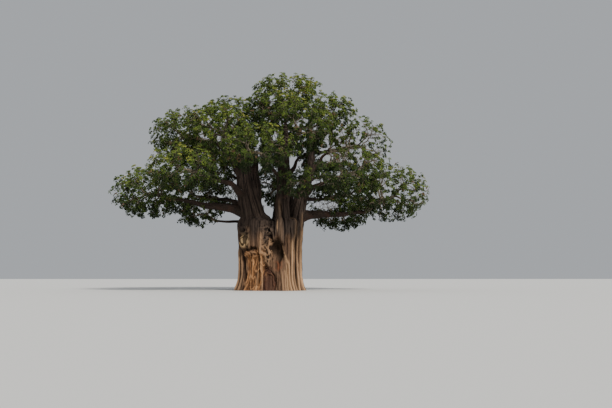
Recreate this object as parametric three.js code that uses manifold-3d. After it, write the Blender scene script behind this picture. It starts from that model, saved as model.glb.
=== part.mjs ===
// A large baobab in full leaf, rooted in level ground.
// A short, very thick, folded trunk stands on a flat cut at ground level and forks into five
// upright stems. Each bough leaves a stem and ends in its own mass of twigs and leaves.
// Millimetres, +Z up. The origin is the middle of the flat cut under the trunk.
// Turns are in degrees about +Z: 0 is +X, the right of the front view, and 270 is the front.
import * as THREE from "three";
import { mergeVertices } from "three/addons/utils/BufferGeometryUtils.js";
import Module from "manifold-3d";

const wasm = await Module();
wasm.setup();

// Driving sizes, in millimetres
const METRE = 1000;
const GAP = 0.35; // between touching pieces

const TRUNK = {
  halfWidth: 2740,
  halfDepth: 2500,
  shoulder: 5850, // height of the rim between the stems
  lobeRise: 1050, // how much higher the rim is under a stem
  lobeTaper: 0.26, // how far a lobe leans in at its top, beside its radius
  fork: 6350, // height of the saddle in the middle
  rootFlare: 430,
  flareHeight: 700,
  crownSwell: 170, // the swelling under the stems
  sides: 48,
};

// Folds stand out of the trunk and hollows sink into it: turn and half width in degrees,
// height from and to in metres, and how far out in metres.
const TRUNK_FORMS = [
  { name: "right edge fold", turn: 343, half: 8, from: -1, to: 6.6, out: 0.2 },
  { name: "right middle fold", turn: 324, half: 7, from: -1, to: 6.6, out: 0.22 },
  { name: "right front fold", turn: 309, half: 6, from: -1, to: 5.2, out: 0.18 },
  { name: "rope fold", turn: 293, half: 8, from: -1, to: 6.6, out: 0.3 },
  { name: "fork crease", turn: 267, half: 9, from: 3.6, to: 9, out: -0.55 },
  { name: "dark hollow", turn: 280, half: 9, from: 1.7, to: 4.0, out: -0.6 },
  { name: "low hollow", turn: 266, half: 11, from: 0.15, to: 1.7, out: -0.5 },
  { name: "left lobe", turn: 240, half: 24, from: 3.0, to: 9, out: 0.26 },
  { name: "stripped face", turn: 236, half: 20, from: -0.4, to: 3.0, out: -0.16 },
  { name: "burr", turn: 217, half: 11, from: 3.1, to: 4.7, out: 0.34 },
  { name: "left edge fold", turn: 194, half: 9, from: -1, to: 6.6, out: 0.2 },
  { name: "back left fold", turn: 158, half: 15, from: -1, to: 6.6, out: 0.3 },
  { name: "back left crease", turn: 132, half: 9, from: -1, to: 5.7, out: -0.3 },
  { name: "back fold", turn: 108, half: 14, from: -1, to: 6.6, out: 0.26 },
  { name: "back crease", turn: 84, half: 9, from: -1, to: 9, out: -0.42 },
  { name: "back right fold", turn: 57, half: 15, from: -1, to: 6.6, out: 0.3 },
  { name: "side crease", turn: 31, half: 7, from: -1, to: 9, out: -0.26 },
  { name: "side fold", turn: 12, half: 9, from: -1, to: 6.6, out: 0.2 },
];

// Stems: the turn of the foot and the half width of the trunk's lobe under it in degrees, then
// where the axis ends and the two radii in metres. The foot's outer side lies just inside the
// trunk's surface.
const STEM_FOOT_HEIGHT = 4.9;
const STEM_FOOT_DEPTH = 0.06; // under the trunk's surface
const STEMS = {
  left_stem: { turn: 207, lobe: 36, tip: [-2.75, -0.7, 12.9], root: 1.28, end: 0.34 },
  middle_stem: { turn: 297, lobe: 15, tip: [1.3, -0.75, 15.3], root: 0.72, end: 0.22 },
  right_stem: { turn: 345, lobe: 26, tip: [3.95, -0.35, 13.7], root: 0.94, end: 0.28 },
  back_left_stem: { turn: 152, lobe: 30, tip: [-1.5, 4.7, 12.3], root: 0.95, end: 0.28 },
  back_right_stem: { turn: 54, lobe: 36, tip: [1.35, 3.0, 14.2], root: 1.1, end: 0.28 },
};

// Masses of foliage, each at the end of its own bough. In metres, but for the turn in degrees.
// A mass whose bough leaves at height 0 stands on its stem's own tip.
const MASS_COLUMNS = [
  "name",
  "on", // the stem that carries the bough
  "at", // the height where the bough leaves the stem
  "root", // the bough's root radius
  "turn", // of the mass about the origin's upright
  "out", // from that upright
  "up",
  "wide", // half the mass's width
  "tall", // half its height
];
const MASSES = [
  ["left_low", "left_stem", 6.5, 0.58, 184, 10.85, 8.7, 3.7, 2.75],
  ["left_hanging", "back_left_stem", 6.1, 0.2, 172, 6.6, 7.1, 2.7, 1.7],
  ["front_left_low", "left_stem", 7.9, 0.42, 224, 9.6, 10.1, 3.9, 2.4],
  ["front_low", "middle_stem", 8.6, 0.3, 263, 8.4, 11.5, 3.8, 2.4],
  ["front_right_low", "right_stem", 8.2, 0.4, 316, 9.0, 10.0, 4.0, 2.6],
  ["right_low", "right_stem", 6.45, 0.5, 358, 10.8, 8.75, 3.75, 2.95],
  ["right_under", "back_right_stem", 6.7, 0.3, 15, 6.6, 7.1, 3.25, 2.0],
  ["back_right_low", "back_right_stem", 7.2, 0.46, 43, 9.9, 9.3, 4.2, 2.7],
  ["back_low", "back_right_stem", 8.3, 0.4, 84, 9.4, 10.2, 4.2, 2.6],
  ["back_left_low", "back_left_stem", 7.2, 0.46, 137, 9.7, 9.2, 4.2, 2.7],
  ["left_middle", "left_stem", 9.6, 0.42, 185, 7.5, 13.8, 3.8, 2.8],
  ["front_left_middle", "left_stem", 10.6, 0.34, 232, 7.3, 13.3, 3.7, 2.7],
  ["front_middle", "middle_stem", 10.4, 0.27, 291, 6.6, 13.6, 3.7, 2.7],
  ["right_middle", "right_stem", 10.0, 0.36, 355, 7.5, 13.0, 3.7, 3.0],
  ["back_right_middle", "back_right_stem", 10.2, 0.34, 48, 7.6, 13.4, 3.9, 2.8],
  ["back_middle", "back_left_stem", 0, 0, 101, 6.5, 13.5, 3.8, 2.7],
  ["back_left_middle", "back_left_stem", 9.4, 0.36, 145, 7.5, 13.2, 3.8, 2.8],
  ["upper_left", "left_stem", 0, 0, 187, 3.6, 15.4, 3.6, 2.3],
  ["crown_top", "middle_stem", 0, 0, 335, 1.7, 17.2, 4.3, 2.45],
  ["upper_right", "right_stem", 0, 0, 355, 4.9, 15.5, 3.4, 2.7],
  ["upper_front", "middle_stem", 12.4, 0.2, 274, 4.2, 15.4, 3.1, 2.3],
  ["upper_back", "back_right_stem", 0, 0, 77, 4.0, 15.9, 3.4, 2.4],
  ["inner_left", "back_left_stem", 8.2, 0.26, 166, 5.1, 10.9, 2.5, 2.1],
  ["inner_right", "right_stem", 8.9, 0.26, 8, 5.4, 10.5, 2.6, 2.1],
  ["inner_front", "middle_stem", 7.7, 0.2, 297, 5.0, 9.3, 2.3, 1.8],
].map((row) => Object.fromEntries(MASS_COLUMNS.map((column, i) => [column, row[i]])));

// Two boughs run out nearly level, and end this far below the middles of their masses, beside
// the half heights.
const LEVEL_BOUGHS = { right_low: 0.6, left_hanging: 0.5 };

const LIMB = {
  stemSides: 8,
  stemRings: 7,
  boughSides: 6,
  boughRings: 6,
  tipShare: 0.28, // a bough's tip radius beside its root radius
  leastTip: 0.09, // metres
  stemCollar: 0.08, // share of the root radius that a limb's collar adds
  boughCollar: 0.35,
  stemTaper: 0.8, // below 1 a limb keeps its thickness, above 1 it loses it early
  boughTaper: 1.8,
  stemWander: 0.012, // how far a limb strays from its smooth line, beside its length
  boughWander: 0.03,
  entry: 0.62, // where a bough ends: short of its mass's middle, beside its half width
  entryDrop: 0.22, // and below it, beside its half height
  leaveOut: 0.33, // how far a bough leaves its stem outwards, beside its length
  leaveUp: 0.16, // and upwards, but for the lowest boughs, which leave more level
  levelBelow: [6.2, 7.0], // metres of height over which they come to leave upwards
  climbShare: 0.3, // the share of its climb that it makes at once
  arriveBack: 0.3, // how far back from its end a bough levels out, beside its length
  arriveDrop: 0.2, // and the share of its climb that is left there
  climbRange: [-0.2, 0.8],
};

const FOLIAGE = {
  twigsPerMetre: 1.5, // of the mass's half width
  leavesOnTwig: 3,
  leafLength: 1450,
  leafWidth: 1050,
  leafThickness: 70,
  leafSplay: 58, // degrees between a leaf and its twig
  leafTurn: 137.5, // degrees round the twig from one leaf to the next
  leafStep: 150, // along the twig, between the places where a leaf may stand
  twigRadius: 46,
  forkInto: 6, // the most twigs that leave one fork
  step: 0.45, // how far towards its twigs' ends a fork stands
  inner: 0.5, // where the nearest twig ends lie, beside the mass's half sizes
  outer: 0.8, // and the furthest
  wallGap: 12, // between a leaf and the edge of its mass's space
};

// Turns and helpers
const vec = (x, y, z) => new THREE.Vector3(x, y, z);
const UP = vec(0, 0, 1);
const radians = THREE.MathUtils.degToRad;
const smooth = (low, high, value) => THREE.MathUtils.smoothstep(value, low, high);

// A closed geometry as a solid: only the positions are kept, and shared ones are merged.
// A solid that grows is moved out along its vertices' normals, which count each face alike.
function solidOf(geometry, grow = 0) {
  const bare = geometry.clone();
  bare.deleteAttribute("normal");
  bare.deleteAttribute("uv");
  const merged = mergeVertices(bare, 1e-3);
  if (grow) {
    const { position } = merged.attributes;
    const normals = Array.from({ length: position.count }, () => vec(0, 0, 0));
    const face = new THREE.Triangle();
    for (let i = 0; i < merged.index.count; i += 3) {
      const corners = [0, 1, 2].map((k) => merged.index.getX(i + k));
      face.setFromAttributeAndIndices(position, ...corners);
      const normal = face.getNormal(vec(0, 0, 0));
      corners.forEach((corner) => normals[corner].add(normal));
    }
    normals.forEach((normal, i) => {
      const moved = vec(0, 0, 0).fromBufferAttribute(position, i);
      moved.addScaledVector(normal.normalize(), grow);
      position.setXYZ(i, moved.x, moved.y, moved.z);
    });
  }
  return new wasm.Manifold(
    new wasm.Mesh({
      numProp: 3,
      vertProperties: new Float32Array(merged.attributes.position.array),
      triVerts: new Uint32Array(merged.index.array),
    }),
  );
}

function geometryOf(solid) {
  const mesh = solid.getMesh();
  const positions = new Float32Array(mesh.numVert * 3);
  for (let i = 0; i < mesh.numVert; i++) {
    positions.set(mesh.vertProperties.subarray(i * mesh.numProp, i * mesh.numProp + 3), i * 3);
  }
  return new THREE.BufferGeometry()
    .setAttribute("position", new THREE.BufferAttribute(positions, 3))
    .setIndex(new THREE.BufferAttribute(new Uint32Array(mesh.triVerts), 1));
}

// The largest body of a solid, which drops loose scraps and fills sealed hollows.
function largestBody(solid) {
  return solid.decompose().reduce((best, body) => (body.volume() > best.volume() ? body : best));
}

// Moves each vertex of an upright cylinder of radius 1 and height 1 to place(height, turn, share),
// where share is 1 on the skin and 0 in the middle of an end.
function shapedCylinder(sides, rings, grow, place) {
  const geometry = new THREE.CylinderGeometry(1, 1, 1, sides, rings);
  geometry.rotateX(Math.PI / 2);
  const position = geometry.attributes.position;
  for (let i = 0; i < position.count; i++) {
    const x = position.getX(i);
    const y = position.getY(i);
    const p = place(position.getZ(i) + 0.5, Math.atan2(y, x), Math.hypot(x, y));
    position.setXYZ(i, p.x, p.y, p.z);
  }
  return solidOf(geometry, grow);
}

// A bell over a turn: 1 at its middle, falling to either side. Angles in degrees.
function bell(turn, middle, half) {
  const apart = Math.abs(turn - middle) % 360;
  return Math.exp(-((Math.min(apart, 360 - apart) / half) ** 2));
}

// The height of the trunk's rim, which rises in a lobe under each stem.
function rimHeight(turn) {
  const degrees = THREE.MathUtils.radToDeg(turn);
  const lobes = Object.values(STEMS).map((stem) => bell(degrees, stem.turn, stem.lobe));
  return TRUNK.shoulder + TRUNK.lobeRise * Math.max(...lobes);
}

// The trunk's radius at a turn and a height: an ellipse, wider at the roots and under the stems,
// with the folds and hollows added. The lobes lean in a little.
function trunkRadius(turn, height) {
  const degrees = THREE.MathUtils.radToDeg(turn);
  const ellipse =
    1 / Math.hypot(Math.cos(turn) / TRUNK.halfWidth, Math.sin(turn) / TRUNK.halfDepth);
  const flare = TRUNK.rootFlare * Math.exp(-height / TRUNK.flareHeight);
  const swell = TRUNK.crownSwell * smooth(3.4 * METRE, 6 * METRE, height);
  const edge = 0.45 * METRE;
  const forms = TRUNK_FORMS.reduce((sum, form) => {
    const along =
      smooth(form.from * METRE - edge, form.from * METRE + edge, height) *
      (1 - smooth(form.to * METRE - edge, form.to * METRE + edge, height));
    return sum + form.out * METRE * bell(degrees, form.turn, form.half) * along;
  }, 0);
  const above = Math.max(0, height - TRUNK.shoulder) / TRUNK.lobeRise;
  return (ellipse + flare + swell + forms) * (1 - TRUNK.lobeTaper * above ** 2);
}

// The trunk: rings up its sides to the rim, then rings that close over the fork.
const SIDE_RINGS = [0, 0.05, 0.12, 0.2, 0.3, 0.4, 0.5, 0.6, 0.7, 0.8, 0.9, 1]; // of the rim's height
const CLOSING_RINGS = [0.97, 0.84, 0.6, 0.3]; // of the rim's radius

function trunkSolid(grow = 0) {
  const last = SIDE_RINGS.length + CLOSING_RINGS.length - 1;
  return shapedCylinder(TRUNK.sides, last, grow, (up, turn, share) => {
    const ring = Math.round(up * last);
    const rim = rimHeight(turn);
    const height = rim * Math.min(1, SIDE_RINGS[ring] ?? 1);
    const closing = share === 0 && up > 0.5 ? 0 : (CLOSING_RINGS[ring - SIDE_RINGS.length] ?? 1);
    const dome = (TRUNK.fork - rim) * (1 - closing ** 2) ** (rim < TRUNK.fork ? 0.5 : 1);
    const radius = trunkRadius(turn, height) * closing * share;
    return vec(radius * Math.cos(turn), radius * Math.sin(turn), height + dome);
  });
}

// A limb's line: a cubic curve from start to end, which strays a little on its way.
class LimbLine extends THREE.Curve {
  constructor({ start, leave, arrive, end, wander, phase }) {
    super();
    this.bezier = new THREE.CubicBezierCurve3(start, leave, arrive, end);
    this.wander = wander;
    this.phase = phase;
  }

  getPoint(t, target = new THREE.Vector3()) {
    const stray = this.wander * Math.sin(Math.PI * t);
    target.copy(this.bezier.getPoint(t));
    target.x += stray * Math.sin(9 * t + this.phase);
    target.y += stray * Math.cos(8 * t + 2 * this.phase);
    target.z += stray * Math.sin(7 * t + 3 * this.phase) * 0.6;
    return target;
  }
}

// A limb's radius along its line: a taper, with a collar where it leaves its parent.
function limbRadius({ root, end, collar, taper }, t) {
  return end + (root - end) * (1 - t) ** taper + collar * root * Math.exp(-t * 14);
}

function limbSolid(limb, grow = 0) {
  const { line, sides, rings } = limb;
  const frames = line.computeFrenetFrames(rings, false);
  return shapedCylinder(sides, rings, grow, (up, turn, share) => {
    const ring = Math.round(up * rings);
    const radius = limbRadius(limb, up) * share;
    return line
      .getPointAt(up)
      .addScaledVector(frames.normals[ring], radius * Math.cos(turn))
      .addScaledVector(frames.binormals[ring], radius * Math.sin(turn));
  });
}

function stemLimb(name, { turn, tip, root, end }, index) {
  const a = radians(turn);
  const height = STEM_FOOT_HEIGHT * METRE;
  const foot = (1 + LIMB.stemCollar) * root + STEM_FOOT_DEPTH;
  const distance = trunkRadius(a, height) - foot * METRE;
  const start = vec(distance * Math.cos(a), distance * Math.sin(a), height);
  const stop = vec(...tip).multiplyScalar(METRE);
  const lean = stop.clone().sub(start);
  const line = new LimbLine({
    start,
    leave: start.clone().add(lean.clone().multiply(vec(0.5, 0.3, 0.35))),
    arrive: stop.clone().addScaledVector(lean, -0.3),
    end: stop,
    wander: lean.z * LIMB.stemWander,
    phase: index,
  });
  return {
    name,
    line,
    root: root * METRE,
    end: end * METRE,
    collar: LIMB.stemCollar,
    taper: LIMB.stemTaper,
    sides: LIMB.stemSides,
    rings: LIMB.stemRings,
  };
}

// The point of a stem's line at a height.
function pointAtHeight(line, height) {
  let low = 0;
  let high = 1;
  for (let i = 0; i < 30; i++) {
    const middle = (low + high) / 2;
    if (line.getPointAt(middle).z < height) low = middle;
    else high = middle;
  }
  return line.getPointAt(low);
}

function spaceOf({ name, turn, out, up, wide, tall }) {
  const a = radians(turn);
  return {
    name,
    centre: vec(out * Math.cos(a), out * Math.sin(a), up).multiplyScalar(METRE),
    half: vec(wide, wide, tall).multiplyScalar(METRE),
  };
}

// A bough leaves its stem rising, and levels out as it enters its mass. The lowest ones rise less.
function boughLimb(row, space, stem, index) {
  const start = pointAtHeight(stem.line, row.at * METRE);
  const drop = LEVEL_BOUGHS[row.name] ?? LIMB.entryDrop;
  const outward = vec(space.centre.x - start.x, space.centre.y - start.y, 0).normalize();
  const end = space.centre
    .clone()
    .addScaledVector(outward, -LIMB.entry * space.half.x)
    .addScaledVector(UP, -drop * space.half.z);
  const length = start.distanceTo(end);
  const leaveUp = LIMB.leaveUp * smooth(...LIMB.levelBelow, row.at);
  const climb = THREE.MathUtils.clamp((end.z - start.z) / length, ...LIMB.climbRange);
  const line = new LimbLine({
    start,
    leave: start
      .clone()
      .addScaledVector(outward, length * LIMB.leaveOut)
      .addScaledVector(UP, length * (leaveUp + climb * LIMB.climbShare)),
    arrive: end
      .clone()
      .addScaledVector(outward, -length * LIMB.arriveBack)
      .addScaledVector(UP, -length * climb * LIMB.arriveDrop),
    end,
    wander: length * LIMB.boughWander,
    phase: index * 1.7,
  });
  const root = row.root * METRE;
  return {
    name: row.name + "_bough",
    line,
    root,
    end: Math.max(root * LIMB.tipShare, LIMB.leastTip * METRE),
    collar: LIMB.boughCollar,
    taper: LIMB.boughTaper,
    sides: LIMB.boughSides,
    rings: LIMB.boughRings,
  };
}

// The flat walls between a mass's space and its neighbours', each between the two half sizes.
function wallsOf(space, spaces) {
  return spaces
    .filter((other) => other !== space)
    .map((other) => {
      const across = other.centre.clone().sub(space.centre);
      const distance = across.length();
      const normal = across.normalize();
      const reach = (s) => s.half.clone().multiply(normal).length();
      const share = reach(space) / (reach(space) + reach(other));
      return { normal, offset: normal.dot(space.centre) + share * distance };
    });
}

function insideSpace(space, point, margin) {
  const from = point.clone().sub(space.centre);
  const half = space.half.clone().subScalar(margin);
  const inBall = from.clone().divide(half).lengthSq() <= 1;
  return inBall && space.walls.every((wall) => wall.normal.dot(point) <= wall.offset - margin);
}

// True if a bar from one point to another with this radius stays clear of every limb.
function clearOfLimbs(limbs, from, to, radius) {
  const bar = new THREE.Line3(from, to);
  const near = new THREE.Vector3();
  return limbs.every((limb) =>
    limb.samples.every(({ point, size }) => {
      bar.closestPointToPoint(point, true, near);
      return near.distanceTo(point) > size + radius;
    }),
  );
}

// Evenly scattered numbers from 0 to 1: three fixed steps, started by the mass's seed.
const SCATTER_STEPS = [0.8191725134, 0.6710436067, 0.5497004779];
const scatter = (seed, i) => SCATTER_STEPS.map((step) => (0.5 + seed * 0.37 + i * step) % 1);

// Twig ends, scattered over the outer part of the mass's space.
function twigEndsOf(space, seed, limbs) {
  const ends = [];
  const wanted = Math.round((FOLIAGE.twigsPerMetre * space.half.x) / METRE);
  for (let i = 0; ends.length < wanted && i < 300; i++) {
    const [u, v, w] = scatter(seed, i);
    const z = 2 * u - 1;
    const flat = Math.sqrt(1 - z * z);
    const turn = 2 * Math.PI * v;
    const depth = FOLIAGE.inner + (FOLIAGE.outer - FOLIAGE.inner) * Math.sqrt(w);
    const point = vec(flat * Math.cos(turn), flat * Math.sin(turn), z)
      .multiply(space.half)
      .multiplyScalar(depth)
      .add(space.centre);
    const apart = ends.every((end) => end.distanceTo(point) > FOLIAGE.leafLength);
    const clear = clearOfLimbs(limbs, point, point, FOLIAGE.leafWidth * 0.5);
    if (apart && clear && insideSpace(space, point, FOLIAGE.leafLength * 0.3)) ends.push(point);
  }
  return ends;
}

// A three-sided bar from one point to another. With no end radius it runs to a point.
function barSolid(from, to, startRadius, endRadius) {
  const along = to.clone().sub(from);
  const geometry = new THREE.CylinderGeometry(endRadius, startRadius, along.length(), 3);
  const turn = new THREE.Quaternion().setFromUnitVectors(vec(0, 1, 0), along.clone().normalize());
  geometry.applyQuaternion(turn);
  const middle = from.clone().add(to).multiplyScalar(0.5);
  geometry.translate(middle.x, middle.y, middle.z);
  return solidOf(geometry);
}

// The twigs of a mass: from a point, a stem runs part of the way to the middle of its twigs'
// ends and forks. A few ends get a twig each, and more are halved across their widest spread and
// forked again. A stem's radius follows the number of twigs that it carries.
function growTwigs(from, ends, twigs) {
  const middle = ends.reduce((sum, end) => sum.add(end), vec(0, 0, 0)).divideScalar(ends.length);
  const fork = from.clone().lerp(middle, FOLIAGE.step);
  const radius = FOLIAGE.twigRadius * Math.sqrt(ends.length);
  twigs.push({ from, to: fork, start: radius, end: radius * 0.8, leafy: false });
  if (ends.length <= FOLIAGE.forkInto) {
    ends.forEach((end) => {
      twigs.push({ from: fork, to: end, start: FOLIAGE.twigRadius, end: 0, leafy: true });
    });
    return;
  }
  const span = (axis) => {
    const values = ends.map((end) => end[axis]);
    return Math.max(...values) - Math.min(...values);
  };
  const axis = ["x", "y", "z"].reduce((best, next) => (span(next) > span(best) ? next : best));
  const ordered = [...ends].sort((a, b) => a[axis] - b[axis]);
  const half = Math.ceil(ordered.length / 2);
  growTwigs(fork, ordered.slice(0, half), twigs);
  growTwigs(fork, ordered.slice(half), twigs);
}

// One leaf, which stands for a spray: a thin lozenge of eight faces, widest past its middle.
function leafAt(root, direction, face) {
  const side = face.clone().cross(direction).normalize();
  const normal = direction.clone().cross(side).normalize();
  const tip = root.clone().addScaledVector(direction, FOLIAGE.leafLength);
  const belly = root.clone().lerp(tip, 0.55);
  const corner = (share) => belly.clone().addScaledVector(side, (share * FOLIAGE.leafWidth) / 2);
  const solid = () => {
    const geometry = new THREE.OctahedronGeometry(1);
    const position = geometry.attributes.position;
    for (let i = 0; i < position.count; i++) {
      const [x, y, z] = [position.getX(i), position.getY(i), position.getZ(i)];
      const along = [root, belly, tip][Math.round(y) + 1];
      const p = along
        .clone()
        .addScaledVector(side, (x * FOLIAGE.leafWidth) / 2)
        .addScaledVector(normal, (-z * FOLIAGE.leafThickness) / 2);
      position.setXYZ(i, p.x, p.y, p.z);
    }
    return solidOf(geometry);
  };
  return { corners: [root, tip, corner(1), corner(-1)], root, tip, solid };
}

// The leaves of one twig: one at its end, and the rest turned round it, from its end backwards.
// Their faces turn outwards from the middle of the mass. A leaf that would leave the space or
// touch a limb is skipped.
function leavesOf({ from, to }, space, limbs, spin) {
  const along = to.clone().sub(from).normalize();
  const side = along.clone().cross(Math.abs(along.z) > 0.9 ? vec(1, 0, 0) : vec(0, 0, 1)).normalize();
  const fits = (leaf) =>
    leaf.corners.every((corner) => insideSpace(space, corner, FOLIAGE.wallGap)) &&
    clearOfLimbs(limbs, leaf.root.clone().lerp(leaf.tip, 0.3), leaf.tip, FOLIAGE.leafWidth * 0.4);
  const leaves = [];
  const length = from.distanceTo(to);
  for (let i = 0; leaves.length < FOLIAGE.leavesOnTwig && i * FOLIAGE.leafStep < length * 0.85; i++) {
    const back = i === 0 ? FOLIAGE.twigRadius * 2 : i * FOLIAGE.leafStep;
    const root = to.clone().addScaledVector(along, -back);
    const out = side.clone().applyAxisAngle(along, spin + radians(i * FOLIAGE.leafTurn));
    const splay = i === 0 ? 0 : radians(FOLIAGE.leafSplay);
    const direction = along.clone().multiplyScalar(Math.cos(splay)).addScaledVector(out, Math.sin(splay));
    const face = root.clone().sub(space.centre).divide(space.half).addScaledVector(out, 0.3);
    const leaf = leafAt(root, direction.normalize(), face);
    if (fits(leaf)) leaves.push(leaf);
  }
  return leaves;
}

// A mass of foliage: twigs from the bough's tip, with their leaves fused on, inside its own space.
function massSolid(space, carrier, limbs, grownCarrier, seed) {
  const tip = carrier.line.getPointAt(1);
  const inTip = tip.clone().addScaledVector(carrier.line.getTangentAt(1), -60);
  const twigs = [];
  growTwigs(inTip, twigEndsOf(space, seed, limbs), twigs);
  const solids = [];
  twigs.forEach((twig, index) => {
    const sink = twig.to.clone().sub(twig.from).setLength(20);
    const start = Math.min(twig.start, carrier.end * 0.9);
    solids.push(barSolid(twig.from.clone().sub(sink), twig.to.clone().add(sink), start, twig.end));
    if (twig.leafy) solids.push(...leavesOf(twig, space, limbs, seed + index).map((leaf) => leaf.solid()));
  });
  const joined = solids.reduce((sum, solid) => sum.add(solid));
  return largestBody(joined.subtract(grownCarrier));
}

// Materials
const BARK_COLOUR = 0x6f5a48;
const STEM_COLOUR = 0x75614f;
const BOUGH_COLOUR = 0x7b6755;
const LEAF_COLOURS = [0x45592a, 0x4d6430, 0x3d5127];
const finish = (color, roughness) => new THREE.MeshStandardMaterial({ color, roughness, metalness: 0 });

function named(name, solid, material) {
  const mesh = new THREE.Mesh(geometryOf(solid), material);
  mesh.geometry.computeVertexNormals();
  mesh.name = name;
  return mesh;
}

const tree = new THREE.Group();

// The trunk and its stems, each stem cut clear of the trunk and of the stems before it
tree.add(named("trunk", trunkSolid(), finish(BARK_COLOUR, 0.9)));
const grownTrunk = trunkSolid(GAP);
const stems = Object.entries(STEMS).map(([name, row], index) => stemLimb(name, row, index));
stems.forEach((stem, index) => {
  const before = stems.slice(0, index).map((other) => limbSolid(other, GAP));
  const aboveShoulder = limbSolid(stem).trimByPlane([0, 0, 1], TRUNK.shoulder);
  const cut = [grownTrunk, ...before].reduce((solid, other) => solid.subtract(other), aboveShoulder);
  stem.solid = largestBody(cut);
  tree.add(named(stem.name, stem.solid, finish(STEM_COLOUR, 0.9)));
});

// The boughs, each cut clear of the trunk and every stem
const spaces = MASSES.map(spaceOf);
spaces.forEach((space) => {
  space.walls = wallsOf(space, spaces);
});
const stemNamed = (name) => stems.find((stem) => stem.name === name);
const grownStems = stems.map((stem) => limbSolid(stem, GAP));
const carriers = MASSES.map((row, index) => {
  const stem = stemNamed(row.on);
  if (!row.at) return stem;
  const bough = boughLimb(row, spaces[index], stem, index);
  const cut = [grownTrunk, ...grownStems].reduce((solid, other) => solid.subtract(other), limbSolid(bough));
  tree.add(named(bough.name, largestBody(cut), finish(BOUGH_COLOUR, 0.88)));
  return bough;
});

// Points along every limb, close enough together to keep leaves off it
const limbs = [...new Set([...stems, ...carriers])];
limbs.forEach((limb) => {
  const count = 40;
  limb.samples = Array.from({ length: count + 1 }, (_, i) => ({
    point: limb.line.getPointAt(i / count),
    size: limbRadius(limb, i / count) + 25,
  }));
});

MASSES.forEach((row, index) => {
  const grown = limbSolid(carriers[index], GAP);
  const solid = massSolid(spaces[index], carriers[index], limbs, grown, index);
  tree.add(named(row.name + "_leaves", solid, finish(LEAF_COLOURS[index % LEAF_COLOURS.length], 0.7)));
});

export default tree;
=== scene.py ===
# %% [markdown]
# # A large baobab in full leaf
# This scene dresses the solids of an old baobab: a short, very thick, folded trunk that forks into
# upright stems, long level boughs, and a broad crown in masses of leaves. The solids are loaded
# first and never moved. Every new piece is worked out in their frame, in metres, +Z up.

import math

import bmesh
import bpy
import numpy as np
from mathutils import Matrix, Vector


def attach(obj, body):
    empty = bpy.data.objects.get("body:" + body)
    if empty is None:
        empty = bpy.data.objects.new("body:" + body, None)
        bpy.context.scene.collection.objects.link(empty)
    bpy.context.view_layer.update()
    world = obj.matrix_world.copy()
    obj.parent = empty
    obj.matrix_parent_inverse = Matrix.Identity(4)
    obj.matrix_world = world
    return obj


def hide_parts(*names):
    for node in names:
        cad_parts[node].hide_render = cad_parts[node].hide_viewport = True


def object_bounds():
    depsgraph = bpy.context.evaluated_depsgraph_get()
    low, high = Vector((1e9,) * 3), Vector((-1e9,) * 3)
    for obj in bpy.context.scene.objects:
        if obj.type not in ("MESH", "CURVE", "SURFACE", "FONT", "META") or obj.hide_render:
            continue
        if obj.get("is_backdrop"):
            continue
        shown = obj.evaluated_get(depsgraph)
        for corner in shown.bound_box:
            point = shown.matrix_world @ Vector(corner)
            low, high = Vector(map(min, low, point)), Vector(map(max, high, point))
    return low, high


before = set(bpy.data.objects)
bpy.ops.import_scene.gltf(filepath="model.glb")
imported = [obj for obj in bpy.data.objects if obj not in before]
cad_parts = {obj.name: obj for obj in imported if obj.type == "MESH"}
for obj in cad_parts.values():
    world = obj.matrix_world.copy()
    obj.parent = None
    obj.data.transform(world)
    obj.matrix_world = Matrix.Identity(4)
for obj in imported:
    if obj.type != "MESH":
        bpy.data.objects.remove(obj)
cad_low, cad_high = (list(corner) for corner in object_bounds())
print("solids reach from", np.round(cad_low, 2), "to", np.round(cad_high, 2))

# %% [markdown]
# ## Camera
# The tree is seen from far off across level ground, from eye height, through a normal lens. A
# camera that far away hardly narrows the tree towards its top. It is turned a little to the right
# and tilted up, which puts the trunk left of the middle and the ground low in the frame.

# %% Camera
CAMERA_PLACE = (0.0, -76.0, 1.2)
CAMERA_TILT = 4.9  # degrees above the horizon
CAMERA_TURN = -2.36  # degrees, to the right
LENS = 50.0  # mm
SENSOR_WIDTH = 36.0  # mm
FARTHEST = 800.0  # metres

camera_data = bpy.data.cameras.new("camera")
camera_data.lens = LENS
camera_data.sensor_width = SENSOR_WIDTH
camera_data.clip_end = FARTHEST
camera = bpy.data.objects.new("camera", camera_data)
camera.location = CAMERA_PLACE
camera.rotation_euler = (math.radians(90.0 + CAMERA_TILT), 0.0, math.radians(CAMERA_TURN))
bpy.context.scene.collection.objects.link(camera)
bpy.context.scene.camera = camera
print("camera", CAMERA_PLACE, "tilt", CAMERA_TILT)

# %% [markdown]
# ## From arrays to meshes
# Every shape below is an array of corners and one or more arrays of faces. One helper makes a mesh
# of them in a few calls, which is far quicker than adding corners one by one.

# %% Arrays to a mesh
def new_mesh(name, corners, face_sets, smooth=True):
    """A mesh of an (n, 3) array and arrays of faces, each with its own number of corners."""
    mesh = bpy.data.meshes.new(name)
    face_sets = [faces for faces in face_sets if len(faces)]
    loops = np.concatenate([faces.ravel() for faces in face_sets]).astype(np.int32)
    sizes = np.concatenate([np.full(len(faces), faces.shape[1]) for faces in face_sets])
    starts = np.concatenate([[0], np.cumsum(sizes)[:-1]]).astype(np.int32)
    mesh.vertices.add(len(corners))
    mesh.vertices.foreach_set("co", np.asarray(corners, np.float32).ravel())
    mesh.loops.add(len(loops))
    mesh.loops.foreach_set("vertex_index", loops)
    mesh.polygons.add(len(sizes))
    mesh.polygons.foreach_set("loop_start", starts)
    mesh.update(calc_edges=True)
    mesh.polygons.foreach_set("use_smooth", np.full(len(sizes), smooth))
    return mesh


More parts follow.
